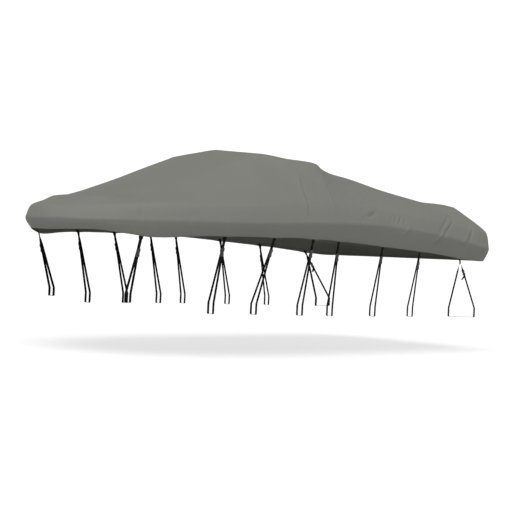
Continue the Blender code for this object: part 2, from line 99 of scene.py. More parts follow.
def add_node(tree: Tree, kind: str, settings: dict | None = None,
             links: dict | None = None) -> Node:
    """Add a node, set its properties and inputs, and link what feeds it.

    Args:
        tree: the node tree that gets the node.
        kind: the node's type.
        settings: node properties and input values; an input is named or numbered.
        links: input name or number to the output socket that feeds it.

    Returns:
        The new node.
    """
    node = tree.nodes.new(kind)
    for key, value in (settings or {}).items():
        if isinstance(key, int) or key in node.inputs:
            node.inputs[key].default_value = value
        else:
            setattr(node, key, value)
    for key, socket in (links or {}).items():
        tree.links.new(socket, node.inputs[key])
    return node


def speckle(tree: Tree, place: Socket, size_mm: float, detail: float, rough: float = 0.5) -> Node:
    """Add noise with features of a size."""
    return add_node(tree, "ShaderNodeTexNoise",
                    {"Scale": MM / size_mm, "Detail": detail, "Roughness": rough},
                    {"Vector": place})


def bands(tree: Tree, place: Socket, way: str, period_mm: float, distortion: float = 0.0,
          detail: float = 2.0) -> Socket:
    """Add bands that repeat at a distance, and return their height.

    Args:
        tree: the node tree.
        place: the coordinates, in metres.
        way: the axis that they follow each other on.
        period_mm: from one band to the next.
        distortion: how much they waver.
        detail: how finely they do.

    Returns:
        The socket with their height, 0 to 1.
    """
    scale = WAVE_PERIOD * MM / period_mm
    return add_node(tree, "ShaderNodeTexWave",
                    {"bands_direction": way, "Scale": scale, "Distortion": distortion,
                     "Detail": detail},
                    {"Vector": place}).outputs["Fac"]


def calculate(tree: Tree, operation: str, first: Socket, second: Socket | None = None) -> Socket:
    """Add a sum of one or two values, and return its result."""
    links = {0: first} if second is None else {0: first, 1: second}
    return add_node(tree, "ShaderNodeMath", {"operation": operation}, links).outputs["Value"]


def shade_by(tree: Tree, share: float, colour: Socket, shade: Socket) -> Socket:
    """Multiply a colour by a share of a shade, and return the result."""
    return add_node(tree, "ShaderNodeMix",
                    {"data_type": "RGBA", "blend_type": "MULTIPLY", 0: share},
                    dict(zip(MIX_COLOURS, (colour, shade)))).outputs[2]


def blend(tree: Tree, factor: Socket, low: str, high: str,
          span: tuple[float, float] = (0.0, 1.0)) -> Socket:
    """Blend two sRGB hex colours by a factor that runs over a span, and return the colour."""
    ramp = add_node(tree, "ShaderNodeValToRGB", links={"Fac": factor})
    for stop, position, code in zip(ramp.color_ramp.elements, span, (low, high)):
        stop.position = position
        stop.color = linear(code)
    return ramp.outputs["Color"]


def vary_roughness(tree: Tree, shader: Node, factor: Socket, span: tuple[float, float]) -> None:
    """Let a factor move a shader's roughness over a span."""
    rough = add_node(tree, "ShaderNodeMapRange", {3: span[0], 4: span[1]}, {"Value": factor})
    tree.links.new(rough.outputs["Result"], shader.inputs["Roughness"])


def raise_relief(tree: Tree, shader: Node, height: Socket, strength: float,
                 depth_mm: float) -> None:
    """Give a shader relief of a depth."""
    bump = add_node(tree, "ShaderNodeBump", {"Strength": strength, "Distance": depth_mm / MM},
                    {"Height": height})
    tree.links.new(bump.outputs["Normal"], shader.inputs["Normal"])


def new_material(name: str, colour: str, roughness: float, ior: float,
                 specular: float = 0.5) -> tuple[Material, Tree, Node]:
    """Start a material.

    Args:
        name: what the material is.
        colour: its sRGB hex colour.
        roughness: its roughness.
        ior: its index of refraction.
        specular: the strength of its sheen.

    Returns:
        The material, its node tree and its shader.
    """
    material = bpy.data.materials.new(name)
    material.use_nodes = True
    material.diffuse_color = linear(colour)
    tree = material.node_tree
    shader = tree.nodes["Principled BSDF"]
    for key, value in (("Base Color", linear(colour)), ("Roughness", roughness), ("IOR", ior),
                       ("Specular IOR Level", specular)):
        shader.inputs[key].default_value = value
    return material, tree, shader


def cloth_map(tree: Tree) -> Socket:
    """Return a piece's own UV map, in metres along and across its cloth."""
    return add_node(tree, "ShaderNodeUVMap", {"uv_map": "cloth"}).outputs["UV"]


def object_place(tree: Tree) -> Socket:
    """Return the place in the object, in metres."""
    return add_node(tree, "ShaderNodeTexCoord").outputs["Object"]


@dataclass(frozen=True)
class CanvasFinish:
    """Solution-dyed polyester canvas, plain weave, with a matt coating.

    The eye gets a flat warm grey, faintly cloudy from dust and sun, and a fine even tooth.
    """

    colour: str = "6E6F69"
    faded: str = "6F706A"
    dusty: str = "6C6D68"
    cloud_mm: float = 700.0
    cloud_span: tuple[float, float] = (0.30, 0.72)
    rough_span: tuple[float, float] = (0.76, 0.90)
    thread_mm: float = 2.4       # drawn coarse: the real threads, 0.6 mm, are too fine to show
    waver: float = 0.3           # of the threads
    weave_depth_mm: float = 0.22
    gap_painted_shade: float = 0.14      # painted shade: how much darker the cloth is between its threads
    slub_mm: float = 60.0
    slub_stretch: Point = (1.0, 9.0, 1.0)
    slub_shade: float = 0.10

    def build(self) -> Material:
        """Return the canvas material, whose weave follows the cloth's own UV map."""
        material, tree, shader = new_material("solution_dyed_polyester_canvas",
                                              self.colour, roughness=0.82, ior=1.45,
                                              specular=0.08)
        cloth = cloth_map(tree)
        cloud = speckle(tree, object_place(tree), self.cloud_mm, detail=4.0,
                        rough=0.55).outputs["Fac"]
        vary_roughness(tree, shader, cloud, self.rough_span)
        stretched = add_node(tree, "ShaderNodeMapping", {"Scale": self.slub_stretch},
                             {"Vector": cloth}).outputs["Vector"]
        slub = speckle(tree, stretched, self.slub_mm, detail=3.0, rough=0.6)
        warp = bands(tree, cloth, "X", 2.0 * self.thread_mm, self.waver)
        weft = bands(tree, cloth, "Y", 2.0 * self.thread_mm, self.waver)
        weave = calculate(tree, "ABSOLUTE", calculate(tree, "SUBTRACT", warp, weft))
        tone = blend(tree, cloud, self.dusty, self.faded, self.cloud_span)
        tone = shade_by(tree, self.slub_shade, tone, slub.outputs["Color"])
        # painted shade: the tone goes darker in the weave's low gaps between threads
        tone = shade_by(tree, self.gap_painted_shade, tone, weave)
        tree.links.new(tone, shader.inputs["Base Color"])
        height = calculate(tree, "ADD", weave, slub.outputs["Fac"])
        raise_relief(tree, shader, height, strength=0.35, depth_mm=self.weave_depth_mm)
        return material


@dataclass(frozen=True)
class WebbingFinish:
    """Woven polypropylene webbing, black: a dull sheen on close cross ribs."""

    colour: str = "060607"
    # a little lighter on the ribs' raised crests
    rib_crest: str = "0E0E10"
    rib_mm: float = 3.2
    chain_mm: float = 5.0
    rib_depth_mm: float = 0.35

    def build(self) -> Material:
        """Return the webbing material, whose ribs follow the strap's own UV map."""
        material, tree, shader = new_material("woven_polypropylene_webbing",
                                              self.colour, roughness=0.62, ior=1.49,
                                              specular=0.06)
        cloth = cloth_map(tree)
        ribs = bands(tree, cloth, "Y", self.rib_mm, distortion=0.6, detail=1.0)
        chain = bands(tree, cloth, "X", self.chain_mm, distortion=0.2)
        both = calculate(tree, "MULTIPLY", ribs, chain)
        # lighter where ribs and chain both stand high
        tone = blend(tree, both, self.colour, self.rib_crest)
        tree.links.new(tone, shader.inputs["Base Color"])
        raise_relief(tree, shader, both, strength=0.7, depth_mm=self.rib_depth_mm)
        return material


@dataclass(frozen=True)
class AcetalFinish:
    """Moulded acetal, black: a smooth satin skin with a fine spark-eroded grain."""

    colour: str = "141416"
    rough_span: tuple[float, float] = (0.30, 0.44)
    grain_mm: float = 0.8
    grain_depth_mm: float = 0.05

    def build(self) -> Material:
        """Return the buckle material."""
        material, tree, shader = new_material("moulded_acetal", self.colour,
                                              roughness=0.36, ior=1.48)
        grain = speckle(tree, object_place(tree), self.grain_mm, detail=2.0).outputs["Fac"]
        vary_roughness(tree, shader, grain, self.rough_span)
        raise_relief(tree, shader, grain, strength=0.4, depth_mm=self.grain_depth_mm)
        return material


@dataclass(frozen=True)
class ThreadFinish:
    """Bonded polyester sewing thread: a slightly glossy twisted cord."""

    colour: str = "6A6A64"
    twist_mm: float = 1.2
    twist_depth_mm: float = 0.2

    def build(self) -> Material:
        """Return the thread material."""
        material, tree, shader = new_material("bonded_polyester_thread", self.colour,
                                              roughness=0.5, ior=1.5)
        twist = bands(tree, object_place(tree), "DIAGONAL", self.twist_mm)
        raise_relief(tree, shader, twist, strength=0.5, depth_mm=self.twist_depth_mm)
        return material


@dataclass(frozen=True)
class FloorFinish:
    """Matt paper sweep, near white, lit a little from behind so that shadows stay pale."""

    colour: str = "8A8A8A"
    glow: float = 0.676

    def build(self) -> Material:
        """Return the floor material."""
        material, _, shader = new_material("matt_paper", self.colour, roughness=0.95,
                                           ior=1.3, specular=0.1)
        shader.inputs["Emission Color"].default_value = linear("FFFFFF")
        shader.inputs["Emission Strength"].default_value = self.glow
        return material


def unit(vector: np.ndarray) -> np.ndarray:
    """Return a vector at length one, or the zero vector as it is."""
    size = float(np.linalg.norm(vector))
    return vector / size if size > 1e-9 else vector


def hermite(a: np.ndarray, b: np.ndarray, leave: np.ndarray, arrive: np.ndarray,
            t: float) -> np.ndarray:
    """Return the point at t, 0 to 1, of the cubic from a to b with these end tangents."""
    t2, t3 = t * t, t * t * t
    return ((2 * t3 - 3 * t2 + 1) * a + (t3 - 2 * t2 + t) * leave
            + (3 * t2 - 2 * t3) * b + (t3 - t2) * arrive)


def swing(start: Vector, end: Vector, turn: float, t: float) -> Vector:
    """Return the direction, of any length, at t on the arc between two that are a turn apart."""
    return start * math.sin((1 - t) * turn) + end * math.sin(t * turn)


def bridge(bm: Mesh, first: list, second: list) -> None:
    """Join two rings of as many vertices with faces."""
    for k in range(len(first)):
        n = (k + 1) % len(first)
        bm.faces.new((first[k], first[n], second[n], second[k]))


def lay_grid(bm: Mesh, layer: bmesh.types.BMLayerItem, rows: list[list],
             uv: Callable[[int, int], tuple[float, float]], closed: bool) -> None:
    """Join rows of as many vertices into a sheet, with its UV map in metres.

    Args:
        bm: the mesh.
        layer: its UV layer.
        rows: the vertices.
        uv: returns the place on the cloth of a vertex, from its row and number.
        closed: whether each row is a ring.
    """
    count = len(rows[0])
    for i in range(len(rows) - 1):
        for k in range(count if closed else count - 1):
            n = (k + 1) % count
            corners = ((i, k), (i, n), (i + 1, n), (i + 1, k))
            made = bm.faces.new([rows[a][b] for a, b in corners])
            for loop, corner in zip(made.loops, corners):
                loop[layer].uv = uv(*corner)


def link_object(name: str, data: bpy.types.ID) -> Object:
    """Make an object of its data and link it to the scene."""
    made = bpy.data.objects.new(name, data)
    bpy.context.scene.collection.objects.link(made)
    return made


def evaluated_copy(source: Object, name: str) -> Object:
    """Turn an object and its modifiers into a plain mesh object, and remove the source.

    Args:
        source: the object with its modifiers.
        name: the new object's name.

    Returns:
        The plain mesh object.
    """
    bpy.context.view_layer.update()
    graph = bpy.context.evaluated_depsgraph_get()
    mesh = bpy.data.meshes.new_from_object(source.evaluated_get(graph), depsgraph=graph)
    mesh.name = name
    bpy.data.objects.remove(source, do_unlink=True)
    return link_object(name, mesh)


def link_mesh(name: str, bm: Mesh, material: Material, sharp_degrees: float = 0.0) -> Object:
    """Make a smooth object of a bmesh, with edges over an angle sharp.

    Args:
        name: the object's name.
        bm: the mesh, which is freed.
        material: its finish.
        sharp_degrees: the angle; no edge is sharp at 0.

    Returns:
        The new object.
    """
    mesh = bpy.data.meshes.new(name)
    bm.to_mesh(mesh)
    bm.free()
    mesh.materials.append(material)
    mesh.shade_smooth()
    if sharp_degrees:
        mesh.set_sharp_from_angle(angle=math.radians(sharp_degrees))
    return link_object(name, mesh)


def fit(piece: Object, node: str = "") -> None:
    """Bind a piece to the body and let it stand for its node, if it has one."""
    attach(piece, "root")
    if node:
        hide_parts(node)


@dataclass
class Offsets:
    """The cover's table of offsets, and the curves through it."""

    peak_x: float = 1.930
    peak_z: float = 1.857
    solid_cloth: float = 0.002       # the solid's thickness, under the peak's outer face
    side_sag: float = 0.004          # how far the taut side hangs inside a straight line
    skirt_belly: float = 0.004       # how far the slack skirt swells at mid height
    hem_dip: float = 0.005           # how far a strap draws the hem down
    hem_dip_reach: float = 0.07
    tab_wide: float = 0.038
    heading_step: float = 0.004      # for the knuckle's direction
    bare_ends: tuple[float, float] = (0.2, 0.9)     # of the knuckle, where no tab is
    halvings: int = 40               # of the stretch between them, to find a tab's place
    mirrored: tuple[int, ...] = (1, 8)              # the y columns
    rows: tuple[Row, ...] = (
        # knuckle x, y, z      tuck   drop   inset  rise   shoulder x, y, z      crown x, z    round
        (0.000, 0.000, 1.103, 0.055, 0.090, 0.045, 0.105, 0.170, 0.000, 1.264, 0.170, 1.264, 1.4),
        (0.040, 0.220, 1.103, 0.055, 0.085, 0.045, 0.105, 0.210, 0.140, 1.270, 0.200, 1.275, 1.4),
        (0.170, 0.475, 1.105, 0.058, 0.080, 0.044, 0.108, 0.330, 0.310, 1.308, 0.320, 1.314, 1.1),
        (0.360, 0.680, 1.112, 0.065, 0.110, 0.032, 0.125, 0.570, 0.390, 1.328, 0.560, 1.356, 1.5),
        (0.570, 0.820, 1.121, 0.070, 0.132, 0.035, 0.130, 0.800, 0.450, 1.404, 0.800, 1.440, 1.9),
        (0.830, 0.930, 1.133, 0.066, 0.121, 0.038, 0.135, 1.040, 0.500, 1.480, 1.040, 1.526, 2.0),
        (1.080, 1.015, 1.143, 0.062, 0.113, 0.040, 0.140, 1.260, 0.530, 1.556, 1.260, 1.608, 2.0),
        (1.370, 1.080, 1.155, 0.060, 0.115, 0.045, 0.145, 1.500, 0.530, 1.652, 1.500, 1.698, 1.8),
        (1.720, 1.120, 1.176, 0.060, 0.123, 0.050, 0.150, 1.790, 0.530, 1.762, 1.780, 1.798, 1.2),
        (1.960, 1.133, 1.193, 0.062, 0.131, 0.055, 0.150, 1.940, 0.560, 1.808, 1.930, 1.857, 0.2),
        (2.200, 1.140, 1.207, 0.064, 0.143, 0.060, 0.150, 2.150, 0.690, 1.780, 2.190, 1.814, 0.5),
        (2.460, 1.143, 1.219, 0.066, 0.156, 0.060, 0.150, 2.465, 0.795, 1.752, 2.450, 1.789, 0.4),
        (2.520, 1.144, 1.221, 0.067, 0.160, 0.060, 0.150, 2.505, 0.798, 1.727, 2.510, 1.784, 0.5),
        (2.620, 1.146, 1.225, 0.068, 0.166, 0.060, 0.150, 2.580, 0.800, 1.704, 2.600, 1.780, 0.7),
        (3.000, 1.150, 1.233, 0.070, 0.184, 0.060, 0.150, 3.000, 0.800, 1.657, 3.000, 1.738, 1.0),
        (3.400, 1.150, 1.226, 0.072, 0.190, 0.060, 0.150, 3.420, 0.800, 1.602, 3.420, 1.685, 1.0),
        (3.900, 1.145, 1.203, 0.076, 0.183, 0.060, 0.155, 3.900, 0.800, 1.556, 3.900, 1.630, 1.0),
        (4.300, 1.135, 1.172, 0.080, 0.174, 0.058, 0.165, 4.260, 0.795, 1.530, 4.240, 1.597, 1.0),
        (4.620, 1.118, 1.142, 0.080, 0.163, 0.055, 0.170, 4.560, 0.785, 1.538, 4.480, 1.585, 1.0),
        (4.880, 1.092, 1.113, 0.072, 0.141, 0.050, 0.172, 4.690, 0.785, 1.530, 4.590, 1.577, 1.0),
        (5.030, 1.055, 1.104, 0.060, 0.128, 0.044, 0.180, 4.740, 0.775, 1.528, 4.640, 1.570, 1.0),
        (5.095, 1.012, 1.101, 0.056, 0.124, 0.040, 0.185, 4.760, 0.745, 1.528, 4.660, 1.566, 1.0),
        (5.125, 0.930, 1.099, 0.064, 0.122, 0.044, 0.192, 4.770, 0.670, 1.532, 4.690, 1.562, 1.0),
        (5.138, 0.680, 1.098, 0.078, 0.120, 0.045, 0.195, 4.780, 0.480, 1.538, 4.730, 1.556, 1.0),
        (5.142, 0.350, 1.098, 0.078, 0.120, 0.045, 0.200, 4.790, 0.250, 1.545, 4.770, 1.550, 1.0),
        (5.142, 0.000, 1.098, 0.078, 0.120, 0.045, 0.200, 4.795, 0.000, 1.547, 4.795, 1.547, 1.0),
    )
    strap_rows: tuple[Row, ...] = (
        # tab x  foot x  in     out    top    bottom lead   spread tail
        (0.470, 0.515, 0.475, 0.535, 0.520, 0.450, 0.070, 0.000, 0.000),
        (1.135, 1.165, 0.780, 0.840, 0.475, 0.382, 0.060, 0.000, 0.000),
        (1.648, 1.650, 0.815, 0.876, 0.475, 0.382, 0.066, 0.000, 0.000),
        (2.135, 2.160, 0.900, 0.960, 0.475, 0.382, 0.058, 0.000, 0.000),
        (2.485, 2.530, 0.940, 1.000, 0.475, 0.382, 0.072, 0.000, 0.000),
        (3.140, 3.175, 0.935, 0.995, 0.475, 0.382, 0.052, 0.000, 0.000),
        (3.755, 3.790, 0.930, 0.990, 0.475, 0.382, 0.064, 0.000, 0.000),
        (4.500, 4.560, 0.900, 0.990, 0.475, 0.382, 0.104, 0.345, 0.050),
    )

    def __post_init__(self) -> None:
        """Lay smooth curves through the rows, mirrored past both ends."""
        table = np.array(self.rows)
        steps = np.linalg.norm(np.diff(table[:, :2], axis=0), axis=1)
        along = np.concatenate(([0.0], np.cumsum(steps)))
        self.length = float(along[-1])
        sign = np.ones(table.shape[1])
        sign[list(self.mirrored)] = -1.0
        self.table = np.vstack((table[2:0:-1] * sign, table, table[-2:-4:-1] * sign))
        self.along = np.concatenate((-along[2:0:-1], along,
                                     2.0 * self.length - along[-2:-4:-1]))
        gaps = np.diff(self.along)
        slopes = np.diff(self.table, axis=0) / gaps[:, None]
        weight = (gaps[1:] / (gaps[1:] + gaps[:-1]))[:, None]
        inner = slopes[:-1] * weight + slopes[1:] * (1.0 - weight)
        self.tangent = np.vstack((slopes[:1], inner, slopes[-1:]))

    def at(self, distance: float) -> np.ndarray:
        """Return the row of values at a distance along the knuckle."""
        i = int(np.clip(np.searchsorted(self.along, distance) - 1, 0, len(self.along) - 2))
        span = self.along[i + 1] - self.along[i]
        t = (distance - self.along[i]) / span
        return hermite(self.table[i], self.table[i + 1],
                       self.tangent[i] * span, self.tangent[i + 1] * span, t)

    def inward(self, distance: float) -> np.ndarray:
        """Return the level unit vector that points in from the knuckle."""
        step = self.heading_step
        ahead = (self.at(distance + step) - self.at(distance - step))[:3]
        return unit(np.array((ahead[1], -ahead[0], 0.0)))

    def to_frame(self, point: np.ndarray | Point) -> Vector:
        """Turn a point of the tables into the frame's own coordinates."""
        return Vector((point[0] - self.peak_x, point[1],
                       point[2] - self.peak_z + self.solid_cloth))

    def to_table(self, points: np.ndarray) -> np.ndarray:
        """Turn points of the frame, one to a row, into the tables' coordinates."""
        return points + np.array((self.peak_x, 0.0, self.peak_z - self.solid_cloth))

    def dip(self, x: float) -> float:
        """Return how far the straps draw the hem down at a distance aft."""
        pull = sum(math.exp(-((x - row[0]) / self.hem_dip_reach) ** 2) for row in self.strap_rows)
        return self.hem_dip * min(pull, 1.0)

    def distance_at_hem(self, x: float) -> float:
        """Return the distance along the knuckle where the hem is at x aft of the nose."""
        low, high = self.bare_ends[0], self.length - self.bare_ends[1]
        for _ in range(self.halvings):
            middle = 0.5 * (low + high)
            if Section(self, middle).hem[0] < x:
                low = middle
            else:
                high = middle
        return 0.5 * (low + high)


class Section:
    """One half section of the cover, from the hem over the knuckle to the crown."""

    # How far each bend reaches, as a share of the stretch that it belongs to
    LEAVE_KNUCKLE, REACH_SIDE = 0.9, 0.8
    LEAVE_SIDE, REACH_SHOULDER = 0.55, 0.30
    LEAVE_SHOULDER, REACH_CROWN = 0.25, 0.6
    SAG_WAY = np.array((0.0, -1.0, -0.5))   # in and a little down
    SAG_FULL = 16.0                  # brings the middle of its curve to one

    def __init__(self, offsets: Offsets, distance: float) -> None:
        """Read the section's five points from the table at a distance along the knuckle."""
        row = offsets.at(distance)
        tuck, drop, inset, rise = row[3:7]
        inward = offsets.inward(distance)
        self.sag = offsets.side_sag
        self.belly = inward * -offsets.skirt_belly
        self.knuckle = row[:3]
        self.hem = self.knuckle + inward * tuck - UP * (drop + offsets.dip(row[0]))
        self.side_low = self.knuckle + inward * inset + UP * rise
        self.shoulder = row[7:10]
        self.crown = np.array((row[10], 0.0, row[11]))
        self.round = float(row[12])

    def point(self, zone: Zone, t: float) -> np.ndarray:
        """Return the point at t, 0 to 1, in a zone of the section."""
        low, high = self.side_low - self.knuckle, self.shoulder - self.side_low
        over = self.crown - self.shoulder
        turn_low = unit(unit(low) + unit(high))
        turn_high = unit(unit(high) + unit(over))
        if zone is Zone.SKIRT:
            swell = self.belly * 4.0 * t * (1.0 - t)
            return self.hem + (self.knuckle - self.hem) * t + swell
        if zone is Zone.TURN:
            size = np.linalg.norm(low)
            return hermite(self.knuckle, self.side_low, low * self.LEAVE_KNUCKLE,
                           turn_low * size * self.REACH_SIDE, t)
        if zone is Zone.FLANK:
            size = np.linalg.norm(high)
            bent = hermite(self.side_low, self.shoulder, turn_low * size * self.LEAVE_SIDE,
                           turn_high * size * self.REACH_SHOULDER * self.round, t)
            return bent + self.SAG_WAY * self.SAG_FULL * (t * (1.0 - t)) ** 2 * self.sag
        size = np.linalg.norm(over)
        level = np.array((over[0], over[1], 0.0))
        return hermite(self.shoulder, self.crown,
                       turn_high * size * self.LEAVE_SHOULDER * self.round,
                       level * self.REACH_CROWN * min(self.round, 1.0), t)


class View(Enum):
    """The three ways that a fold is drawn, by the two axes that it is drawn on."""

    SIDE = (0, 2)
    TAIL = (1, 2)
    TOP = (0, 1)

    @property
    def facing(self) -> int:
        """Return the axis that looks at the drawing."""
        return 3 - sum(self.value)


@dataclass(frozen=True)
class FoldSet:
    """Folds drawn on one view: soft ridges (+) and troughs (-), each on a bent line."""

    view: View
    rows: tuple[Row, ...]
    steps: int = 14                  # straight pieces that stand for a bent line
    ends: float = 0.06               # share of the line at each end that is already faded
    narrow: float = 0.022            # folds up to this half width want a finer mesh
    beside: float = 2.0              # for so many half widths to each side
    felt: float = 3.0                # half widths beyond which a fold no longer counts
    top_from: float = 0.80           # how level the cloth is where the top's folds set in
    top_gain: float = 8.0            # and how fast they do
    side_gain: float = 3.0           # how fast folds of the side and the tail swap at a corner

    def lift(self, points: np.ndarray, normals: np.ndarray) -> np.ndarray:
        """Return how far the folds raise the cloth.

        Args:
            points: points of the tables, one to a row.
            normals: the cloth's outward normals there.

        Returns:
            A height along the normal for each point.
        """
        flat = points[:, self.view.value]
        total = np.zeros(len(points))
        for row in self.rows:
            index, off, where = self.nearest(row, flat, self.felt)
            half, height = row[6:]
            fade = np.sin(np.pi * (self.ends + (1.0 - 2.0 * self.ends) * where)) ** 0.5
            total[index] += height * fade * np.exp(-(off / half) ** 2)
        return total * self.showing(normals)

    def near(self, points: np.ndarray, normals: np.ndarray) -> np.ndarray:
        """Return which points lie on or beside a narrow fold."""
        flat = points[:, self.view.value]
        found = np.zeros(len(points), dtype=bool)
        for row in self.rows:
            half = row[6]
            if half <= self.narrow:
                index, off, _ = self.nearest(row, flat, self.beside)
                found[index[off < half * self.beside]] = True
        return found & (self.showing(normals) > 0.0)

    def showing(self, normals: np.ndarray) -> np.ndarray:
        """Return how much of its folds the view gives to cloth with these normals, 0 to 1."""
        strength = np.abs(normals)
        mine = strength[:, self.view.facing]
        if self.view is View.TOP:
            return np.clip((mine - self.top_from) * self.top_gain, 0.0, 1.0)
        other = strength[:, 1 - self.view.facing]
        return np.clip((mine - other) * self.side_gain + 0.5, 0.0, 1.0)

    def nearest(self, row: Row, flat: np.ndarray,
                reach: float) -> tuple[np.ndarray, np.ndarray, np.ndarray]:
        """Find the nearest place on a fold's bent line, for the points that may lie near it.

        Args:
            row: the fold.
            flat: points of its view.
            reach: how far a point may lie off it, in half widths.

        Returns:
            Those points' numbers, their distances off the line, and where along it they are,
            0 to 1.
        """
        start, middle, end = (np.array(row[k:k + 2]) for k in (0, 2, 4))
        t = np.linspace(0.0, 1.0, self.steps + 1)[:, None]
        line = (1 - t) ** 2 * start + 2 * t * (1 - t) * middle + t * t * end
        room = row[6] * reach
        inside = (flat > line.min(0) - room) & (flat < line.max(0) + room)
        index = np.flatnonzero(inside.all(1))
        run = np.diff(line, axis=0)
        away = flat[index, None, :] - line[None, :-1]
        share = np.clip((away * run).sum(2) / (run * run).sum(1), 0.0, 1.0)
        off = np.linalg.norm(away - run * share[:, :, None], axis=2)
        piece = off.argmin(1)
        pick = (np.arange(len(index)), piece)
        return index, off[pick], (piece + share[pick]) / self.steps


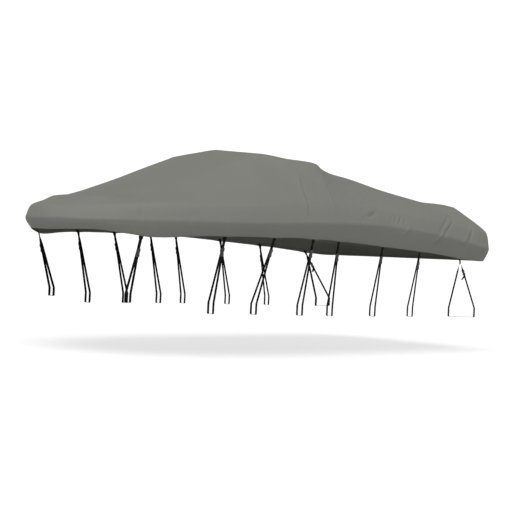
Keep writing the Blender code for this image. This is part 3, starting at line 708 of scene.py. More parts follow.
@dataclass
class Folds:
    """All that is uneven in the cloth: its folds, its slack and the tabs' pull."""

    port: FoldSet = FoldSet(View.SIDE, (
        # from x, z    by x, z       to x, z       half width  height
        (4.47, 1.450, 4.28, 1.388, 4.12, 1.332, 0.013, -0.0085),
        (4.20, 1.362, 4.06, 1.298, 4.00, 1.230, 0.014, -0.0070),
        (4.42, 1.420, 4.08, 1.280, 4.00, 1.195, 0.010, 0.0030),
        (4.04, 1.220, 3.97, 1.170, 3.91, 1.128, 0.012, 0.0080),
        (4.48, 1.432, 4.32, 1.368, 4.22, 1.308, 0.013, -0.0080),
        (4.29, 1.354, 4.17, 1.272, 4.06, 1.190, 0.014, -0.0085),
        (3.93, 1.118, 3.96, 1.128, 3.99, 1.138, 0.010, -0.0050),
        (4.70, 1.350, 4.65, 1.245, 4.53, 1.148, 0.017, -0.0080),
        (4.62, 1.300, 4.55, 1.237, 4.44, 1.155, 0.012, 0.0030),
        (4.64, 1.350, 4.60, 1.320, 4.56, 1.290, 0.012, -0.0040),
        (4.56, 1.270, 4.50, 1.169, 4.34, 1.130, 0.014, 0.0040),
        (4.34, 1.128, 4.38, 1.120, 4.43, 1.108, 0.010, -0.0050),
        (3.21, 1.331, 3.19, 1.310, 3.17, 1.284, 0.013, -0.0030),
        (3.29, 1.342, 3.26, 1.311, 3.22, 1.270, 0.014, -0.0045),
        (3.37, 1.346, 3.34, 1.312, 3.29, 1.264, 0.014, -0.0050),
        (3.44, 1.342, 3.41, 1.311, 3.37, 1.270, 0.013, -0.0040),
        (3.51, 1.280, 3.45, 1.238, 3.41, 1.210, 0.012, 0.0036),
        (3.45, 1.230, 3.41, 1.198, 3.36, 1.172, 0.012, 0.0055),
        (3.54, 1.240, 3.51, 1.215, 3.49, 1.190, 0.010, -0.0020),
        (2.84, 1.310, 2.90, 1.322, 2.96, 1.346, 0.018, -0.0100),
        (2.66, 1.280, 2.72, 1.290, 2.80, 1.332, 0.012, 0.0030),
        (2.83, 1.350, 2.90, 1.372, 2.98, 1.392, 0.014, 0.0035),
        (2.87, 1.447, 2.86, 1.440, 2.86, 1.430, 0.011, -0.0045),
        (2.80, 1.382, 2.80, 1.374, 2.79, 1.364, 0.011, -0.0035),
        (2.15, 1.620, 2.05, 1.460, 1.97, 1.250, 0.012, 0.0042),
        (2.18, 1.620, 2.10, 1.460, 2.00, 1.260, 0.014, -0.0022),
        (2.42, 1.640, 2.41, 1.510, 2.37, 1.310, 0.017, 0.0040),
        (2.34, 1.640, 2.32, 1.560, 2.24, 1.430, 0.015, -0.0025),
        (2.62, 1.600, 2.78, 1.480, 2.80, 1.330, 0.070, -0.0060),
        (0.425, 1.222, 0.42, 1.17, 0.418, 1.115, 0.009, -0.0035),
        (0.452, 1.220, 0.45, 1.17, 0.446, 1.125, 0.009, 0.0030),
        (0.775, 1.180, 0.77, 1.14, 0.772, 1.105, 0.010, -0.0030),
        (0.90, 1.360, 1.00, 1.270, 1.12, 1.150, 0.040, -0.0022),
        (4.86, 1.290, 4.83, 1.220, 4.78, 1.140, 0.020, -0.0035),
        (4.96, 1.290, 4.94, 1.220, 4.91, 1.130, 0.022, 0.0030),
    ))
    starboard: FoldSet = FoldSet(View.SIDE, (
        (4.55, 1.460, 4.28, 1.350, 4.00, 1.235, 0.026, -0.0085),
        (4.66, 1.400, 4.50, 1.300, 4.30, 1.200, 0.018, -0.0065),
        (4.60, 1.430, 4.40, 1.330, 4.16, 1.225, 0.026, 0.0050),
        (3.44, 1.340, 3.35, 1.280, 3.25, 1.210, 0.024, -0.0045),
        (3.52, 1.330, 3.44, 1.270, 3.34, 1.200, 0.024, 0.0030),
        (2.30, 1.600, 2.26, 1.430, 2.22, 1.250, 0.040, -0.0040),
        (2.55, 1.600, 2.50, 1.430, 2.46, 1.250, 0.034, -0.0035),
        (1.20, 1.400, 1.10, 1.300, 1.02, 1.180, 0.040, -0.0030),
        (4.86, 1.300, 4.80, 1.220, 4.74, 1.140, 0.022, -0.0035),
    ))
    tail: FoldSet = FoldSet(View.TAIL, (
        # from y, z     by y, z        to y, z        half width  height
        (-0.74, 1.500, -0.78, 1.340, -0.88, 1.160, 0.022, -0.0060),
        (-0.66, 1.500, -0.66, 1.340, -0.72, 1.170, 0.030, 0.0040),
        (-0.55, 1.470, -0.40, 1.300, -0.30, 1.150, 0.034, -0.0045),
        (0.72, 1.500, 0.76, 1.330, 0.86, 1.150, 0.020, -0.0060),
        (0.64, 1.490, 0.66, 1.330, 0.72, 1.180, 0.028, 0.0040),
        (0.58, 1.430, 0.40, 1.280, 0.22, 1.160, 0.036, -0.0045),
        (-0.06, 1.480, -0.02, 1.330, 0.04, 1.190, 0.050, 0.0025),
    ))
    top: FoldSet = FoldSet(View.TOP, (
        # from x, y    by x, y        to x, y        half width  height
        (1.96, -0.05, 2.20, -0.40, 2.44, -0.76, 0.050, 0.0035),
        (1.96, 0.05, 2.22, 0.38, 2.44, 0.74, 0.050, 0.0035),
        (1.90, -0.05, 1.60, -0.20, 1.20, -0.40, 0.050, 0.0030),
        (1.90, 0.06, 1.58, 0.22, 1.22, 0.44, 0.050, 0.0030),
        (2.55, -0.30, 3.10, -0.22, 3.70, -0.34, 0.060, -0.0040),
        (2.70, 0.36, 3.20, 0.20, 3.90, 0.28, 0.060, -0.0040),
        (3.60, -0.62, 4.00, -0.40, 4.50, -0.55, 0.045, -0.0040),
        (3.70, 0.60, 4.10, 0.42, 4.52, 0.60, 0.045, -0.0040),
    ))
    tension_height: float = 0.0026   # ridges that fan up the skirt from each tab
    tension_reach: float = 0.12
    tension_fall: float = 1.6        # how fast they fade over that reach
    tension_rays: float = 7.0
    tension_from: float = 0.025      # the fan's centre, below the hem
    tension_full: float = 0.030      # height above the hem where the ridges are full
    slack: tuple[tuple[float, float], ...] = ((0.0022, 0.55), (0.0010, 0.17))  # height, size

    def lift(self, points: np.ndarray, normals: np.ndarray, side: Side) -> np.ndarray:
        """Return how far the folds and the slack raise the cloth.

        Args:
            points: points of the tables, one to a row.
            normals: the cloth's outward normals there.
            side: the side that they are on.

        Returns:
            A height along the normal for each point.
        """
        own = self.port if side is Side.PORT else self.starboard
        total = sum(folds.lift(points, normals) for folds in (own, self.tail, self.top))
        for height, size in self.slack:
            total += height * np.array([noise.noise(Vector(point) / size) for point in points])
        return total

    def near(self, points: np.ndarray, normals: np.ndarray) -> np.ndarray:
        """Return which points lie on or beside a narrow fold of their own side."""
        port = points[:, 1] < 0.0
        found = self.tail.near(points, normals) | self.top.near(points, normals)
        found[port] |= self.port.near(points[port], normals[port])
        found[~port] |= self.starboard.near(points[~port], normals[~port])
        return found

    def tension(self, along: np.ndarray, above: np.ndarray) -> np.ndarray:
        """Return the height of the ridges that a tab's pull raises in the skirt.

        Args:
            along: the distances along the hem from the nearest tab's middle.
            above: the distances up from the hem.

        Returns:
            The heights along the normal.
        """
        bearing = np.arctan2(along, above + self.tension_from)
        far = np.hypot(along, above) / self.tension_reach
        fade = np.exp(-(self.tension_fall * far) ** 2)
        fade = fade * np.clip(above / self.tension_full, 0.0, 1.0)
        return self.tension_height * np.cos(bearing * self.tension_rays) * fade


@dataclass
class CanvasShell:
    """The cover itself: one thin sheet, lofted over the offsets, with a turned hem."""

    offsets: Offsets
    folds: Folds
    thickness: float = 0.0010
    coarse_step: float = 0.042       # between the mesh's rows
    fine_step: float = 0.016         # and at the tabs and round the tail's corners
    fine_zone: tuple[float, float] = (4.70, 5.13)
    tab_zone: float = 0.085
    skirt_steps: int = 6
    turn_steps: int = 8
    flank_steps: int = 30
    top_steps: int = 12
    knuckle_reach: float = 0.022     # how far the knuckle's rounding reaches to each side
    knuckle_steps: int = 6
    halvings: int = 4                # rounds in which edges near narrow folds are halved
    short_edge: float = 0.0090       # until they are this short
    hem_tall: float = 0.025          # the turned hem, twice as thick as the cloth
    hem_edge: float = 0.001          # half the height over which its thickness ends
    hem_rows: int = 2                # of the mesh, above the first
    hem_lip: float = 0.0008
    smooth_above: float = 0.035      # no fold or slack reaches this far from the hem
    merge: float = 1e-5              # where both ends meet on the centreline
    cut_wide: float = 3.45           # the cut cloth, laid flat
    cut_long: float = 5.90
    cut_area: float = 15.5

    def stops(self, tabs: list[float]) -> list[float]:
        """Return the distances of the mesh's rows along the knuckle.

        Args:
            tabs: the tabs' distances.

        Returns:
            The rows' distances, closer together where the form turns.
        """
        stops, length = [0.0], self.offsets.length
        while stops[-1] < length:
            here = stops[-1]
            folded = self.fine_zone[0] < self.offsets.at(here)[0] < self.fine_zone[1]
            near = min(abs(here - tab) for tab in tabs) < self.tab_zone
            stops.append(here + (self.fine_step if folded or near else self.coarse_step))
        return [*stops[:-1], length]

    def half_line(self, distance: float) -> list[np.ndarray]:
        """Return a half section's points, hem to crown, with a close pair where the hem ends."""
        section = Section(self.offsets, distance)
        skirt = float(np.linalg.norm(section.knuckle - section.hem))
        low, high = (self.hem_tall - self.hem_edge) / skirt, (self.hem_tall + self.hem_edge) / skirt
        full = 1.0 - self.knuckle_reach / skirt
        shares = [0.0, 0.5 * low, low]
        shares += [high + (full - high) * k / self.skirt_steps for k in range(self.skirt_steps)]
        line = [section.point(Zone.SKIRT, share) for share in shares]
        line += self.rounded(section)
        rise = float(np.linalg.norm(section.side_low - section.knuckle))
        first = self.knuckle_reach / rise
        line += [section.point(Zone.TURN, first + (1.0 - first) * k / self.turn_steps)
                 for k in range(self.turn_steps)]
        for zone, count in ((Zone.FLANK, self.flank_steps), (Zone.TOP, self.top_steps)):
            line += [section.point(zone, k / count) for k in range(count)]
        return [*line, section.crown]

    def rounded(self, section: Section) -> list[np.ndarray]:
        """Return the points that round the knuckle, from the skirt up to the side."""
        down, up = section.hem - section.knuckle, section.side_low - section.knuckle
        start = section.knuckle + unit(down) * self.knuckle_reach
        end = section.point(Zone.TURN, self.knuckle_reach / float(np.linalg.norm(up)))
        points = []
        for k in range(self.knuckle_steps):
            t = k / self.knuckle_steps
            points.append((1 - t) ** 2 * start + 2 * t * (1 - t) * section.knuckle + t * t * end)
        return points

    def base(self, stops: list[float], tabs: list[float]) -> Mesh:
        """Loft the smooth cloth as one grid, hem to hem.

        Args:
            stops: the rows' distances along the knuckle.
            tabs: the tabs' distances.

        Returns:
            The mesh, with a UV map in metres, the turned hem's weight, and each vertex's
            distances above the hem and along it from the nearest tab.
        """
        bm = bmesh.new()
        layer = bm.loops.layers.uv.new("cloth")
        weight = bm.verts.layers.deform.verify()
        above = bm.verts.layers.float.new("above")
        along = bm.verts.layers.float.new("along")
        halves = [self.half_line(stop) for stop in stops]
        for end in (0, -1):
            halves[end] = [point * FLATTEN for point in halves[end]]
        last = 2 * len(halves[0]) - 2
        middle = np.array(halves[len(halves) // 2])
        girth = [0.0, *np.cumsum(np.linalg.norm(np.diff(middle, axis=0), axis=1))]
        girth += [2.0 * girth[-1] - value for value in girth[-2::-1]]
        thin = self.thickness / (self.thickness + self.hem_lip)
        rows = []
        for stop, half in zip(stops, halves):
            line = [point * MIRROR for point in half] + half[-2::-1]
            offset = min((stop - tab for tab in tabs), key=abs)
            verts = [bm.verts.new(self.offsets.to_frame(point)) for point in line]
            for k, vert in enumerate(verts):
                near_end = min(k, last - k)
                vert[weight][0] = 1.0 if near_end <= self.hem_rows else thin
                vert[above] = float(np.linalg.norm(half[near_end] - half[0]))
                vert[along] = offset
            rows.append(verts)
        lay_grid(bm, layer, rows, lambda i, k: (girth[k], stops[i]), closed=False)
        bmesh.ops.remove_doubles(bm, verts=bm.verts, dist=self.merge)
        bmesh.ops.recalc_face_normals(bm, faces=bm.faces)
        if max(bm.faces, key=lambda face: face.calc_center_median().z).normal.z < 0.0:
            bmesh.ops.reverse_faces(bm, faces=bm.faces)
        return bm

    def refine(self, bm: Mesh) -> None:
        """Halve the mesh's edges on and beside narrow folds until they are short."""
        for _ in range(self.halvings):
            bm.normal_update()
            edges = list(bm.edges)
            ends = np.array([[vert.co[:] for vert in edge.verts] for edge in edges])
            normals = np.array([edge.verts[0].normal[:] for edge in edges])
            middles = self.offsets.to_table(ends.mean(axis=1))
            long = np.linalg.norm(ends[:, 1] - ends[:, 0], axis=1) > self.short_edge
            chosen = long & self.folds.near(middles, normals)
            cut = [edge for edge, wanted in zip(edges, chosen) if wanted]
            bmesh.ops.subdivide_edges(bm, edges=cut, cuts=1, use_grid_fill=True)

    def crumple(self, bm: Mesh) -> None:
        """Raise the folds, the slack and the tabs' pull on the smooth cloth."""
        bm.normal_update()
        verts = list(bm.verts)
        above_layer, along_layer = (bm.verts.layers.float[word] for word in ("above", "along"))
        points = self.offsets.to_table(np.array([vert.co[:] for vert in verts]))
        normals = np.array([vert.normal[:] for vert in verts])
        above = np.array([vert[above_layer] for vert in verts])
        along = np.array([vert[along_layer] for vert in verts])
        lift = np.zeros(len(verts))
        for side in Side:
            mine = (points[:, 1] < 0.0) == (side is Side.PORT)
            lift[mine] = self.folds.lift(points[mine], normals[mine], side)
        lift *= np.clip(above / self.smooth_above - 1.0, 0.0, 1.0)
        lift += self.folds.tension(along, above)
        for vert, move in zip(verts, normals * lift[:, None]):
            vert.co += Vector(move)

    def build(self, material: Material) -> Object:
        """Make the shell of the canvas finish, and return it."""
        tabs = [self.offsets.distance_at_hem(row[0]) for row in self.offsets.strap_rows]
        bm = self.base(self.stops(tabs), tabs)
        self.refine(bm)
        self.crumple(bm)
        sheet = link_mesh("canvas_shell_sheet", bm, material)
        sheet.vertex_groups.new(name="turned_hem")
        wall = sheet.modifiers.new("cloth", "SOLIDIFY")
        wall.thickness = self.thickness + self.hem_lip
        wall.vertex_group = "turned_hem"
        wall.offset = -1.0
        shell = evaluated_copy(sheet, "canvas_shell")
        fit(shell, "cover")
        return shell


@dataclass
class StitchRun:
    """Lockstitches along lines on the cloth, laid by Geometry Nodes."""

    name: str
    thread: float = 0.0011           # drawn coarse: the real thread is 0.5 mm
    stitch_long: float = 0.0052
    pitch: float = 0.0080
    sides: int = 6                   # of a stitch, which is a long drop
    rings: int = 4

    def tree(self, material: Material) -> Tree:
        """Build the node tree that lays a stitch at each pitch along a curve.

        Args:
            material: the thread finish.

        Returns:
            The node tree, with inputs for its sizes.
        """
        tree = bpy.data.node_groups.new(self.name + "_tree", "GeometryNodeTree")
        face = tree.interface
        face.new_socket("Geometry", in_out="INPUT", socket_type="NodeSocketGeometry")
        for word in ("Thread", "Stitch", "Pitch"):
            face.new_socket(word, in_out="INPUT", socket_type="NodeSocketFloat")
        face.new_socket("Geometry", in_out="OUTPUT", socket_type="NodeSocketGeometry")
        given = add_node(tree, "NodeGroupInput").outputs
        half = add_node(tree, "ShaderNodeMath", {"operation": "MULTIPLY", 1: 0.5},
                        {0: given["Thread"]})
        ratio = calculate(tree, "DIVIDE", given["Stitch"], given["Thread"])
        points = add_node(tree, "GeometryNodeCurveToPoints", {"mode": "LENGTH"},
                          {"Curve": given["Geometry"], "Length": given["Pitch"]}).outputs
        pill = add_node(tree, "GeometryNodeMeshUVSphere",
                        {"Segments": self.sides, "Rings": self.rings},
                        {"Radius": half.outputs["Value"]})
        size = add_node(tree, "ShaderNodeCombineXYZ", {"X": 1.0, "Y": 1.0}, {"Z": ratio})
        laid = add_node(tree, "GeometryNodeInstanceOnPoints", {},
                        {"Points": points["Points"], "Instance": pill.outputs["Mesh"],
                         "Rotation": points["Rotation"], "Scale": size.outputs["Vector"]})
        last = laid.outputs["Instances"]
        for kind, settings in (("GeometryNodeRealizeInstances", {}),
                               ("GeometryNodeSetShadeSmooth", {}),
                               ("GeometryNodeSetMaterial", {"Material": material})):
            last = add_node(tree, kind, settings, {"Geometry": last}).outputs["Geometry"]
        add_node(tree, "NodeGroupOutput", {}, {"Geometry": last})
        return tree

    def build(self, lines: list[list[Vector]], material: Material) -> Object:
        """Sew along lines of points.

        Args:
            lines: each line's points, in the frame.
            material: the thread finish.

        Returns:
            The stitches as one plain mesh.
        """
        curve = bpy.data.curves.new(self.name + "_lines", "CURVE")
        curve.dimensions = "3D"
        for line in lines:
            spline = curve.splines.new("POLY")
            spline.points.add(len(line) - 1)
            for point, place in zip(spline.points, line):
                point.co = (*place, 1.0)
        guide = link_object(self.name + "_guide", curve)
        tree = self.tree(material)
        nodes = guide.modifiers.new("stitches", "NODES")
        nodes.node_group = tree
        sockets = {item.name: item.identifier for item in tree.interface.items_tree
                   if item.in_out == "INPUT"}
        for word, size in (("Thread", self.thread), ("Stitch", self.stitch_long),
                           ("Pitch", self.pitch)):
            nodes[sockets[word]] = size
        made = evaluated_copy(guide, self.name)
        fit(made)
        return made


@dataclass
class HemSewing:
    """The two rows of stitches that hold the hem, and the boxes over each tab."""

    offsets: Offsets
    proud: float = 0.0009            # the stitches' middle over the solid's outer face
    rows_up: tuple[float, ...] = (0.0045, 0.0205)
    row_points: int = 620            # along half of a row
    heading_step: float = 0.003
    box_wide: float = 0.028
    box_low: float = 0.006
    box_high: float = 0.019

    def on_skirt(self, distance: float, up: float, side: Side) -> Vector:
        """Return a point just outside the skirt.

        Args:
            distance: how far along the knuckle.
            up: how far up the skirt from the hem.
            side: port or starboard.

        Returns:
            The point in the frame.
        """
        section = Section(self.offsets, distance)
        skirt = section.knuckle - section.hem
        ahead = Section(self.offsets, distance + self.heading_step).hem - section.hem
        out = unit(np.cross(ahead, skirt))
        if float(out @ self.offsets.inward(distance)) > 0.0:
            out = -out
        point = section.point(Zone.SKIRT, up / float(np.linalg.norm(skirt))) + out * self.proud
        return self.offsets.to_frame(point * np.array((1.0, side.value, 1.0)))

    def build(self, material: Material) -> Object:
        """Sew the hem and the tabs' crossed boxes with the thread finish, as one piece."""
        lines: list[list[Vector]] = []
        stops = np.linspace(0.0, self.offsets.length, self.row_points)
        for up in self.rows_up:
            port, starboard = ([self.on_skirt(float(stop), up, side) for stop in stops]
                               for side in Side)
            lines.append(port + starboard[-2:0:-1] + [port[0]])
        half = self.box_wide * 0.5
        for side in Side:
            for row in self.offsets.strap_rows:
                middle = self.offsets.distance_at_hem(row[0])
                fore_low, fore_top, aft_low, aft_top = (
                    self.on_skirt(middle + way * half, up, side)
                    for way in (-1.0, 1.0) for up in (self.box_low, self.box_high))
                lines += [[fore_low, fore_top], [aft_low, aft_top],
                          [fore_low, aft_top], [aft_low, fore_top]]
        return StitchRun("hem_stitching").build(lines, material)


@dataclass
class Webbing:
    """A woven tape swept through rings."""

    thick: float
    twist_step: float = 8.0          # degrees of twist in one step
    selvedge: float = 0.18           # how much of its half width the rounded edge takes
    edge_thick: float = 0.35         # share of its thickness at the very edge
    middle_thick: float = 0.88       # and in the middle
    most_stretch: float = 1.0 / 0.3  # of its thickness on the outside of a sharp bend
    sharp_degrees: float = 50.0

    def turned(self, rings: list[Ring]) -> list[Ring]:
        """Add rings where the width direction turns, so that each step turns a little."""
        full = [rings[0]]
        for point, wide, across in rings[1:]:
            start, start_wide, start_across = full[-1]
            turn = start_across.angle(across)
            count = max(1, math.ceil(math.degrees(turn) / self.twist_step))
            for k in range(1, count):
                t = k / count
                full.append((start.lerp(point, t), start_wide + (wide - start_wide) * t,
                             swing(start_across, across, turn, t).normalized()))
            full.append((point, wide, across))
        return full

    def outline(self) -> list[tuple[float, float]]:
        """Return the tape's section: share of the half width, share of the half thickness."""
        flat, edge, middle = 1.0 - self.selvedge, self.edge_thick, self.middle_thick
        upper = [(1.0, edge), (flat, 1.0), (0.0, middle), (-flat, 1.0), (-1.0, edge)]
        return upper + [(a, -b) for a, b in reversed(upper)]

    def sweep(self, name: str, rings: list[Ring], material: Material) -> Object:
        """Make the tape.

        Args:
            name: the piece's name.
            rings: its path, widths and width directions.
            material: the webbing finish.

        Returns:
            The tape as a closed mesh with a UV map in metres.
        """
        rings = self.turned(rings)
        outline = self.outline()
        bm = bmesh.new()
        layer = bm.loops.layers.uv.new("cloth")
        loops, runs, total = [], [], 0.0
        for i, (point, wide, across) in enumerate(rings):
            before = (point - rings[i - 1][0]).normalized() if i else None
            after = (rings[i + 1][0] - point).normalized() if i < len(rings) - 1 else None
            ahead = before or after
            stretch = 1.0
            if before and after:
                ahead = (before + after).normalized()
                stretch = 1.0 / max(1.0 / self.most_stretch, ahead.dot(after))
            face = ahead.cross(across).normalized() * self.thick * 0.5 * stretch
            side = across * wide * 0.5
            loops.append([bm.verts.new(point + side * a + face * b) for a, b in outline])
            total += (point - rings[i - 1][0]).length if i else 0.0
            runs.append((total, wide))
        lay_grid(bm, layer, loops, lambda i, k: (outline[k][0] * runs[i][1] * 0.5, runs[i][0]),
                 closed=True)
        bm.faces.new(loops[0])
        bm.faces.new(loops[-1])
        bmesh.ops.recalc_face_normals(bm, faces=bm.faces)
        return link_mesh(name, bm, material, self.sharp_degrees)


@dataclass
class BuckleForm:
    """A moulded side-release buckle: a plug with two prongs, latched in its socket."""

    long: float = 0.072
    wide: float = 0.034
    waist: float = 0.029
    thick: float = 0.011
    corner: float = 0.00168          # the body's rounded edges
    corner_share: float = 0.45       # at most this share of its half thickness
    slot_half: float = 0.0129        # half a slot's width
    slot_reach: tuple[float, float] = (2.0, 4.0)    # spreads a ring's points round a slot
    windows: tuple[tuple[float, float], ...] = ((0.006, 0.022), (0.054, 0.066))
    level: float = 0.98              # cosine of the tilt up to which a face gets them
    shallow: float = 0.4             # share of its thickness below which it doesn't
    window_frame: float = 0.0030
    window_bevel: float = 0.0004
    window_deep: float = 0.0008
    sharp_degrees: float = 35.0
    stations: tuple[tuple[float, str, float, float], ...] = (
        # along, what its width is measured from, narrower by, thinner by
        (0.0000, "wide", 0.0020, 0.0022), (0.0015, "wide", 0.0006, 0.0010),
        (0.0040, "wide", 0.0, 0.0), (0.0240, "wide", 0.0, 0.0), (0.0262, "wide", 0.0006, 0.0),
        (0.0290, "waist", -0.0006, 0.0003), (0.0320, "waist", 0.0, 0.0006),
        (0.0345, "waist", 0.0010, 0.0022), (0.0352, "waist", 0.0010, 0.0022),
        (0.0360, "waist", 0.0, 0.0008), (0.0460, "waist", 0.0, 0.0004),
        (0.0500, "wide", 0.0008, 0.0002), (0.0530, "wide", 0.0, 0.0),
        (0.0675, "wide", 0.0, 0.0), (0.0705, "wide", 0.0006, 0.0010),
        (0.0720, "wide", 0.0020, 0.0022),
    )

    def section(self, wide: float, deep: float) -> list[tuple[float, float]]:
        """Return a rounded rectangle's points for a ring of the body, of these half sizes."""
        r = min(self.corner, deep * self.corner_share)
        points = []
        for sx, sy, start in ((1, 1, 0.0), (-1, 1, 90.0), (-1, -1, 180.0), (1, -1, 270.0)):
            for turn in (0.0, 45.0, 90.0):
                angle = math.radians(start + turn)
                points.append((sx * (wide - r) + r * math.cos(angle),
                               sy * (deep - r) + r * math.sin(angle)))
        return points

    def build(self, name: str, top: Vector, aim: Vector, across: Vector, slots: tuple[float, float],
              depth: float, material: Material) -> Object:
        """Make a buckle.

        Args:
            name: the piece's name.
            top: the middle of its upper end.
            aim: the way that it hangs.
            across: the direction of its width.
            slots: half the upper and the lower slot's height.
            depth: how deep the slots are.
            material: the acetal finish.

        Returns:
            The buckle as a closed mesh.
        """
        normal = aim.cross(across).normalized()
        bm = bmesh.new()
        rings = []
        for along, measure, narrower, thinner in self.stations:
            centre = top + aim * along
            half, deep = getattr(self, measure) * 0.5 - narrower, self.thick * 0.5 - thinner
            rings.append([bm.verts.new(centre + across * a + normal * b)
                          for a, b in self.section(half, deep)])
        for first, second in zip(rings[:-1], rings[1:]):
            bridge(bm, first, second)
        self.slot(bm, rings[0], top, (aim, across, normal), slots[0], depth)
        self.slot(bm, rings[-1], top + aim * self.long, (-aim, across, normal), slots[1], depth)
        bmesh.ops.recalc_face_normals(bm, faces=bm.faces)
        self.press_windows(bm, top, aim, normal)
        return link_mesh(name, bm, material, self.sharp_degrees)

    def slot(self, bm: Mesh, ring: list, mouth: Vector,
             axes: tuple[Vector, Vector, Vector], half: float, depth: float) -> None:
        """Close an end of the body with a slot for webbing.

        Args:
            bm: the body.
            ring: its last ring of vertices.
            mouth: the slot's middle.
            axes: the ways into, along and across the slot.
            half: half the slot's height.
            depth: how deep it is.
        """
        into, across, normal = axes
        edge = []
        for vert in ring:
            off = vert.co - mouth
            a = max(-self.slot_half, min(self.slot_half, off.dot(across) * self.slot_reach[0]))
            b = max(-half, min(half, off.dot(normal) * self.slot_reach[1]))
            edge.append(bm.verts.new(mouth + across * a + normal * b))
        floor = [bm.verts.new(vert.co + into * depth) for vert in edge]
        bridge(bm, ring, edge)
        bridge(bm, edge, floor)
        bm.faces.new(floor)

    def press_windows(self, bm: Mesh, top: Vector, aim: Vector, normal: Vector) -> None:
        """Press the socket's window and the plug's into both wide faces."""
        for face in list(bm.faces):
            middle = face.calc_center_median() - top
            along, deep = middle.dot(aim), abs(middle.dot(normal))
            wide = abs(face.normal.dot(normal)) > self.level and deep > self.thick * self.shallow
            if wide and any(a < along < b for a, b in self.windows):
                for inset, depth in ((self.window_frame, 0.0),
                                     (self.window_bevel, -self.window_deep)):
                    bmesh.ops.inset_individual(bm, faces=[face], thickness=inset, depth=depth)


@dataclass
class TieDown:
    """A tab with its lead, a buckle and a strap, at one place on the hem."""

    offsets: Offsets
    number: int
    side: Side
    gap: float = 0.0004
    web_wide: float = 0.025
    web_thick: float = 0.0018
    tab_thick: float = 0.0028
    tab_inside: float = 0.024        # part of the tab that is sewn inside the hem
    tab_clear: float = 0.002         # flat hem past each side of it
    tab_fold: float = 0.004          # where it leaves the skirt
    tab_bend: float = 0.003          # from the hem down to where it turns towards its strap
    tab_out: float = 0.034           # from there down to its lead
    tab_taper: tuple[float, float] = (0.016, 0.94)  # where it draws in, and its width there
    tab_neck: tuple[float, float] = (0.006, 1.08)   # before its end, and that width to the lead's
    lead_straight: float = 0.008     # the lead's last part before the buckle
    sewn_lap: float = 0.020
    pocket_deep: float = 0.012
    corner: float = 0.009
    corner_steps: int = 6
    turn_radius: float = 0.0016      # where a tail turns back in its buckle
    turn_steps: int = 8
    tail_entry: float = 0.012        # straight webbing before and after that turn
    tail_exit: float = 0.014
    tail_bend: float = 0.006         # off the leg and along it, where the tail leaves the buckle
    tail_middle: tuple[float, float] = (0.6, 0.014)     # share of the tail, and along the leg
    tail_rise: float = 0.017         # the tail's tip, along the leg
    buckle: BuckleForm = field(default_factory=BuckleForm)

    def __post_init__(self) -> None:
        """Work out the tie-down's own points and directions."""
        row = self.offsets.strap_rows[self.number - 1]
        tab_x, foot_x, foot_in, foot_out, top, bottom, self.lead, spread, self.tail = row
        self.label = f"{self.side.word}_{self.number}"
        self.low = top - bottom
        middle = self.offsets.distance_at_hem(tab_x)
        reach = self.offsets.tab_wide * 0.5 + self.tab_clear
        section = Section(self.offsets, middle)
        ahead = self.place(Section(self.offsets, middle + reach).hem)
        behind = self.place(Section(self.offsets, middle - reach).hem)
        hem = (ahead + behind) * 0.5
        self.along_hem = (ahead - behind).normalized()
        self.up_skirt = (self.place(section.knuckle) - self.place(section.hem)).normalized()
        inward = self.inboard(self.up_skirt.cross(self.along_hem).normalized())
        self.seat = hem + inward * (self.offsets.solid_cloth + self.gap + self.tab_thick * 0.5)
        self.bend = self.seat - self.up_skirt * self.tab_bend
        self.foot_inner = self.place((foot_x, foot_in, top))
        self.foot_outer = self.place((foot_x + spread, foot_out, top))
        self.aim = (self.foot_outer - self.bend).normalized()
        level = self.foot_outer - self.foot_inner
        self.across = level.cross(Vector(UP)).normalized()
        if self.across.dot(self.along_hem) < 0.0:
            self.across = -self.across
        self.tab_end = self.bend + self.aim * self.tab_out
        self.buckle_top = self.tab_end + self.aim * self.lead

    def place(self, point: np.ndarray | Point) -> Vector:
        """Return a point of the tables on this tie-down's side of the frame."""
        return self.offsets.to_frame((point[0], point[1] * self.side.value, point[2]))

    def inboard(self, direction: Vector) -> Vector:
        """Return a direction turned so that it points to the centreline."""
        return -direction if direction.y * self.side.value > 0.0 else direction

    def make_tab(self, material: Material) -> Object:
        """Make the tab and its lead down to the buckle, and return them."""
        wide, along, lead = self.offsets.tab_wide, self.along_hem, self.web_wide
        deep = self.pocket_deep - self.gap
        rings = [
            (self.seat + self.up_skirt * self.tab_inside, wide, along),
            (self.seat + self.up_skirt * self.tab_fold, wide, along),
            (self.bend, wide, along),
            (self.bend + self.aim * self.tab_taper[0], wide * self.tab_taper[1], along),
            (self.tab_end - self.aim * self.tab_neck[0], lead * self.tab_neck[1], along),
            (self.tab_end, lead, along),
            (self.buckle_top - self.aim * self.lead_straight, lead, self.across),
            (self.buckle_top + self.aim * deep, lead, self.across),
        ]
        tab = Webbing(self.tab_thick).sweep("hem_tab_" + self.label, rings, material)
        fit(tab, "tab_" + self.label)
        return tab

    def make_strap(self, material: Material) -> None:
        """Make the strap from the back of its tab, round its foot, to the buckle."""
        down = Vector(-UP)
        behind = self.inboard(self.aim.cross(self.along_hem).normalized())
        behind *= self.tab_thick * 0.5 + self.web_thick * 0.5 + self.gap
        start = self.bend + self.aim * (self.tab_out - self.sewn_lap) + behind
        leave = self.bend + self.aim * self.tab_out + behind
        inner, outer = self.foot_inner, self.foot_outer
        inner_low, outer_low = inner + down * self.low, outer + down * self.low
        points = [leave.lerp(inner, self.lead / (inner - leave).length), inner]
        points += self.round_corner(inner, inner_low, outer_low)
        points += self.round_corner(inner_low, outer_low, outer)
        points += [outer] + self.strap_end()
        rings = [(start, self.web_wide, self.along_hem), (leave, self.web_wide, self.along_hem)]
        rings += [(point, self.web_wide, self.across) for point in points]
        strap = Webbing(self.web_thick).sweep("tie_strap_" + self.label, rings, material)
        fit(strap, "strap_" + self.label)

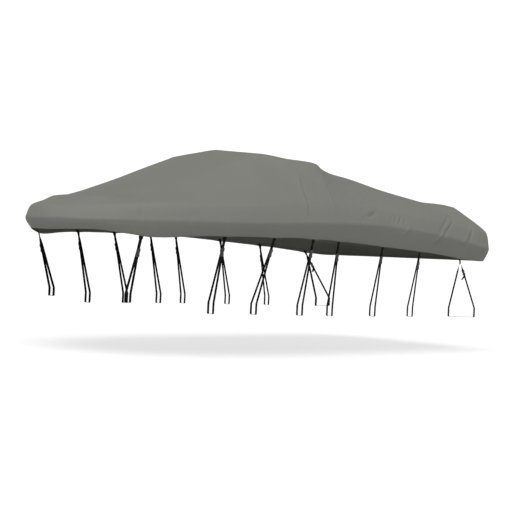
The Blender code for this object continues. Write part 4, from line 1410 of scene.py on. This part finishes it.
    def round_corner(self, before: Vector, corner: Vector, after: Vector) -> list[Vector]:
        """Return the points of an arc that rounds a corner of the strap's path."""
        start, end = (before - corner).normalized(), (after - corner).normalized()
        half = start.angle(end) * 0.5
        cut = self.corner / math.tan(half)
        middle = corner + (start + end).normalized() * self.corner / math.sin(half)
        first, last = corner + start * cut - middle, corner + end * cut - middle
        turn = first.angle(last)
        return [middle + swing(first, last, turn, k / self.corner_steps) / math.sin(turn)
                for k in range(self.corner_steps + 1)]

    def strap_end(self) -> list[Vector]:
        """Return the strap's last points: in its buckle, or turned back there into a tail."""
        aim, radius = self.aim, self.turn_radius
        end = self.buckle_top + aim * self.buckle.long
        deep = end - aim * (self.pocket_deep - self.gap)
        if self.tail == 0.0:
            return [deep]
        off = aim.cross(self.across).normalized()
        if off.dot(self.foot_inner - self.foot_outer) < 0.0:
            off = -off
        middle = deep + aim * (radius + self.web_thick * 0.5)
        points = [middle + aim * self.tail_entry - off * radius]
        for k in range(self.turn_steps + 1):
            angle = math.radians(-90.0 + 180.0 / self.turn_steps * k)
            points.append(middle - aim * radius * math.cos(angle) + off * radius * math.sin(angle))
        out = middle + off * radius + aim * self.tail_exit
        share, rise = self.tail_middle
        return points + [out, out + off * self.tail_bend + aim * self.tail_bend,
                         out + off * (self.tail * share) + aim * rise,
                         out + off * self.tail + aim * self.tail_rise]

    def make_buckle(self, material: Material) -> None:
        """Make the buckle on the outer leg."""
        upper = self.tab_thick * 0.5 + self.gap
        lower = self.web_thick * 0.5 + self.gap + (self.turn_radius if self.tail else 0.0)
        buckle = self.buckle.build("side_release_buckle_" + self.label, self.buckle_top,
                                   self.aim, self.across, (upper, lower), self.pocket_deep,
                                   material)
        fit(buckle, "buckle_" + self.label)


@dataclass
class Studio:
    """The sweep, the lights and the camera, which stands at the photo's viewpoint."""

    ground: float = -1.855
    camera_at: Point = (-7.720, -7.780, -1.055)
    heading_degrees: float = 47.0    # from +Y towards +X
    tilt_degrees: float = 0.486
    roll_degrees: float = 3.0
    focal_pixels: float = 1180.0
    frame_pixels: float = 512.0
    sensor_mm: float = 36.0
    clip_end: float = 200.0
    floor_radius: float = 40.0
    floor_sides: int = 64
    wall_height: float = 22.0
    wall_bend: float = 16.0
    wall_steps: int = 12
    sky: float = 0.29
    softness_degrees: float = 35.0
    lights: tuple[tuple[str, Point, float], ...] = (
        # name, where it comes from, strength
        ("soft_key", (-0.47, -0.34, 0.81), 3.6),
        ("bow_fill", (-1.0, 0.0, 0.12), 0.8),
        ("far_fill", (-0.17, 0.98, 0.12), 2.2),
    )

    def build(self, paper: Material) -> None:
        """Make everything round the object, on a sweep of paper."""
        self.make_sweep(paper)
        self.make_lights()
        self.make_camera()

    def make_sweep(self, paper: Material) -> None:
        """Make a wide round floor whose edge curves up into a wall."""
        bm = bmesh.new()
        flat = self.floor_radius - self.wall_bend
        profile = [(flat, 0.0)]
        for k in range(1, self.wall_steps + 1):
            angle = math.radians(90.0 * k / self.wall_steps)
            profile.append((flat + self.wall_bend * math.sin(angle),
                            self.wall_bend * (1.0 - math.cos(angle))))
        profile.append((self.floor_radius, self.wall_height))
        turns = [2 * math.pi * k / self.floor_sides for k in range(self.floor_sides)]
        rings = [[bm.verts.new((radius * math.cos(turn), radius * math.sin(turn),
                                self.ground + height)) for turn in turns]
                 for radius, height in profile]
        bm.faces.new(rings[0])
        for first, second in zip(rings[:-1], rings[1:]):
            bridge(bm, first, second)
        bmesh.ops.recalc_face_normals(bm, faces=bm.faces)
        bm.faces.ensure_lookup_table()
        if bm.faces[0].normal.z < 0.0:
            bmesh.ops.reverse_faces(bm, faces=bm.faces)
        sweep = link_mesh("paper_sweep", bm, paper)

    def make_lights(self) -> None:
        """Make the even sky and the wide soft lights, and show white paper as white."""
        scene = bpy.context.scene
        scene.view_settings.view_transform = "Standard"
        scene.world = bpy.data.worlds.new("studio_air")
        scene.world.use_nodes = True
        air = scene.world.node_tree.nodes["Background"]
        air.inputs["Color"].default_value = linear("FFFFFF")
        air.inputs["Strength"].default_value = self.sky
        for name, come_from, strength in self.lights:
            light = bpy.data.lights.new(name, "SUN")
            light.angle = math.radians(self.softness_degrees)
            light.energy = strength
            lamp = link_object(name, light)
            lamp.rotation_euler = (-Vector(come_from)).to_track_quat("-Z", "Y").to_euler()

    def make_camera(self) -> None:
        """Make the camera from the pinhole fitted to the photo."""
        heading, tilt, roll = (math.radians(a) for a in
                               (self.heading_degrees, self.tilt_degrees, self.roll_degrees))
        level = Vector((math.sin(heading), math.cos(heading), 0.0))
        right = Vector((math.cos(heading), -math.sin(heading), 0.0))
        up = Vector(UP)
        forward = level * math.cos(tilt) + up * math.sin(tilt)
        raised = -level * math.sin(tilt) + up * math.cos(tilt)
        x_axis = right * math.cos(roll) + raised * math.sin(roll)
        y_axis = -right * math.sin(roll) + raised * math.cos(roll)
        data = bpy.data.cameras.new("photo_camera")
        data.sensor_width = self.sensor_mm
        data.lens = self.focal_pixels / self.frame_pixels * self.sensor_mm
        data.clip_end = self.clip_end
        camera = link_object("photo_camera", data)
        matrix = camera.matrix_world.copy()
        for i in range(3):
            matrix[i][:] = (x_axis[i], y_axis[i], -forward[i], self.camera_at[i])
        camera.matrix_world = matrix
        bpy.context.scene.camera = camera


def main() -> None:
    """Build the cover's pieces in order, and the studio round them."""
    logging.basicConfig(level=logging.INFO, format="%(name)s: %(message)s")
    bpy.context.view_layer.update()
    offsets = Offsets()
    shell = CanvasShell(offsets, Folds())
    canvas = shell.build(CanvasFinish().build())
    LOG.info("%s: %d faces", canvas.name, len(canvas.data.polygons))
    sewing = HemSewing(offsets).build(ThreadFinish().build())
    LOG.info("%s: %d faces", sewing.name, len(sewing.data.polygons))
    webbing = WebbingFinish().build()
    acetal = AcetalFinish().build()
    for side in Side:
        for number in range(1, len(offsets.strap_rows) + 1):
            tie = TieDown(offsets, number, side)
            tie.make_tab(webbing)
            tie.make_strap(webbing)
            tie.make_buckle(acetal)
            LOG.info("tie-down %s", tie.label)
    Studio().build(FloorFinish().build())
    LOG.info("studio: %d lights", len(Studio.lights))


if __name__ == "__main__":
    main()
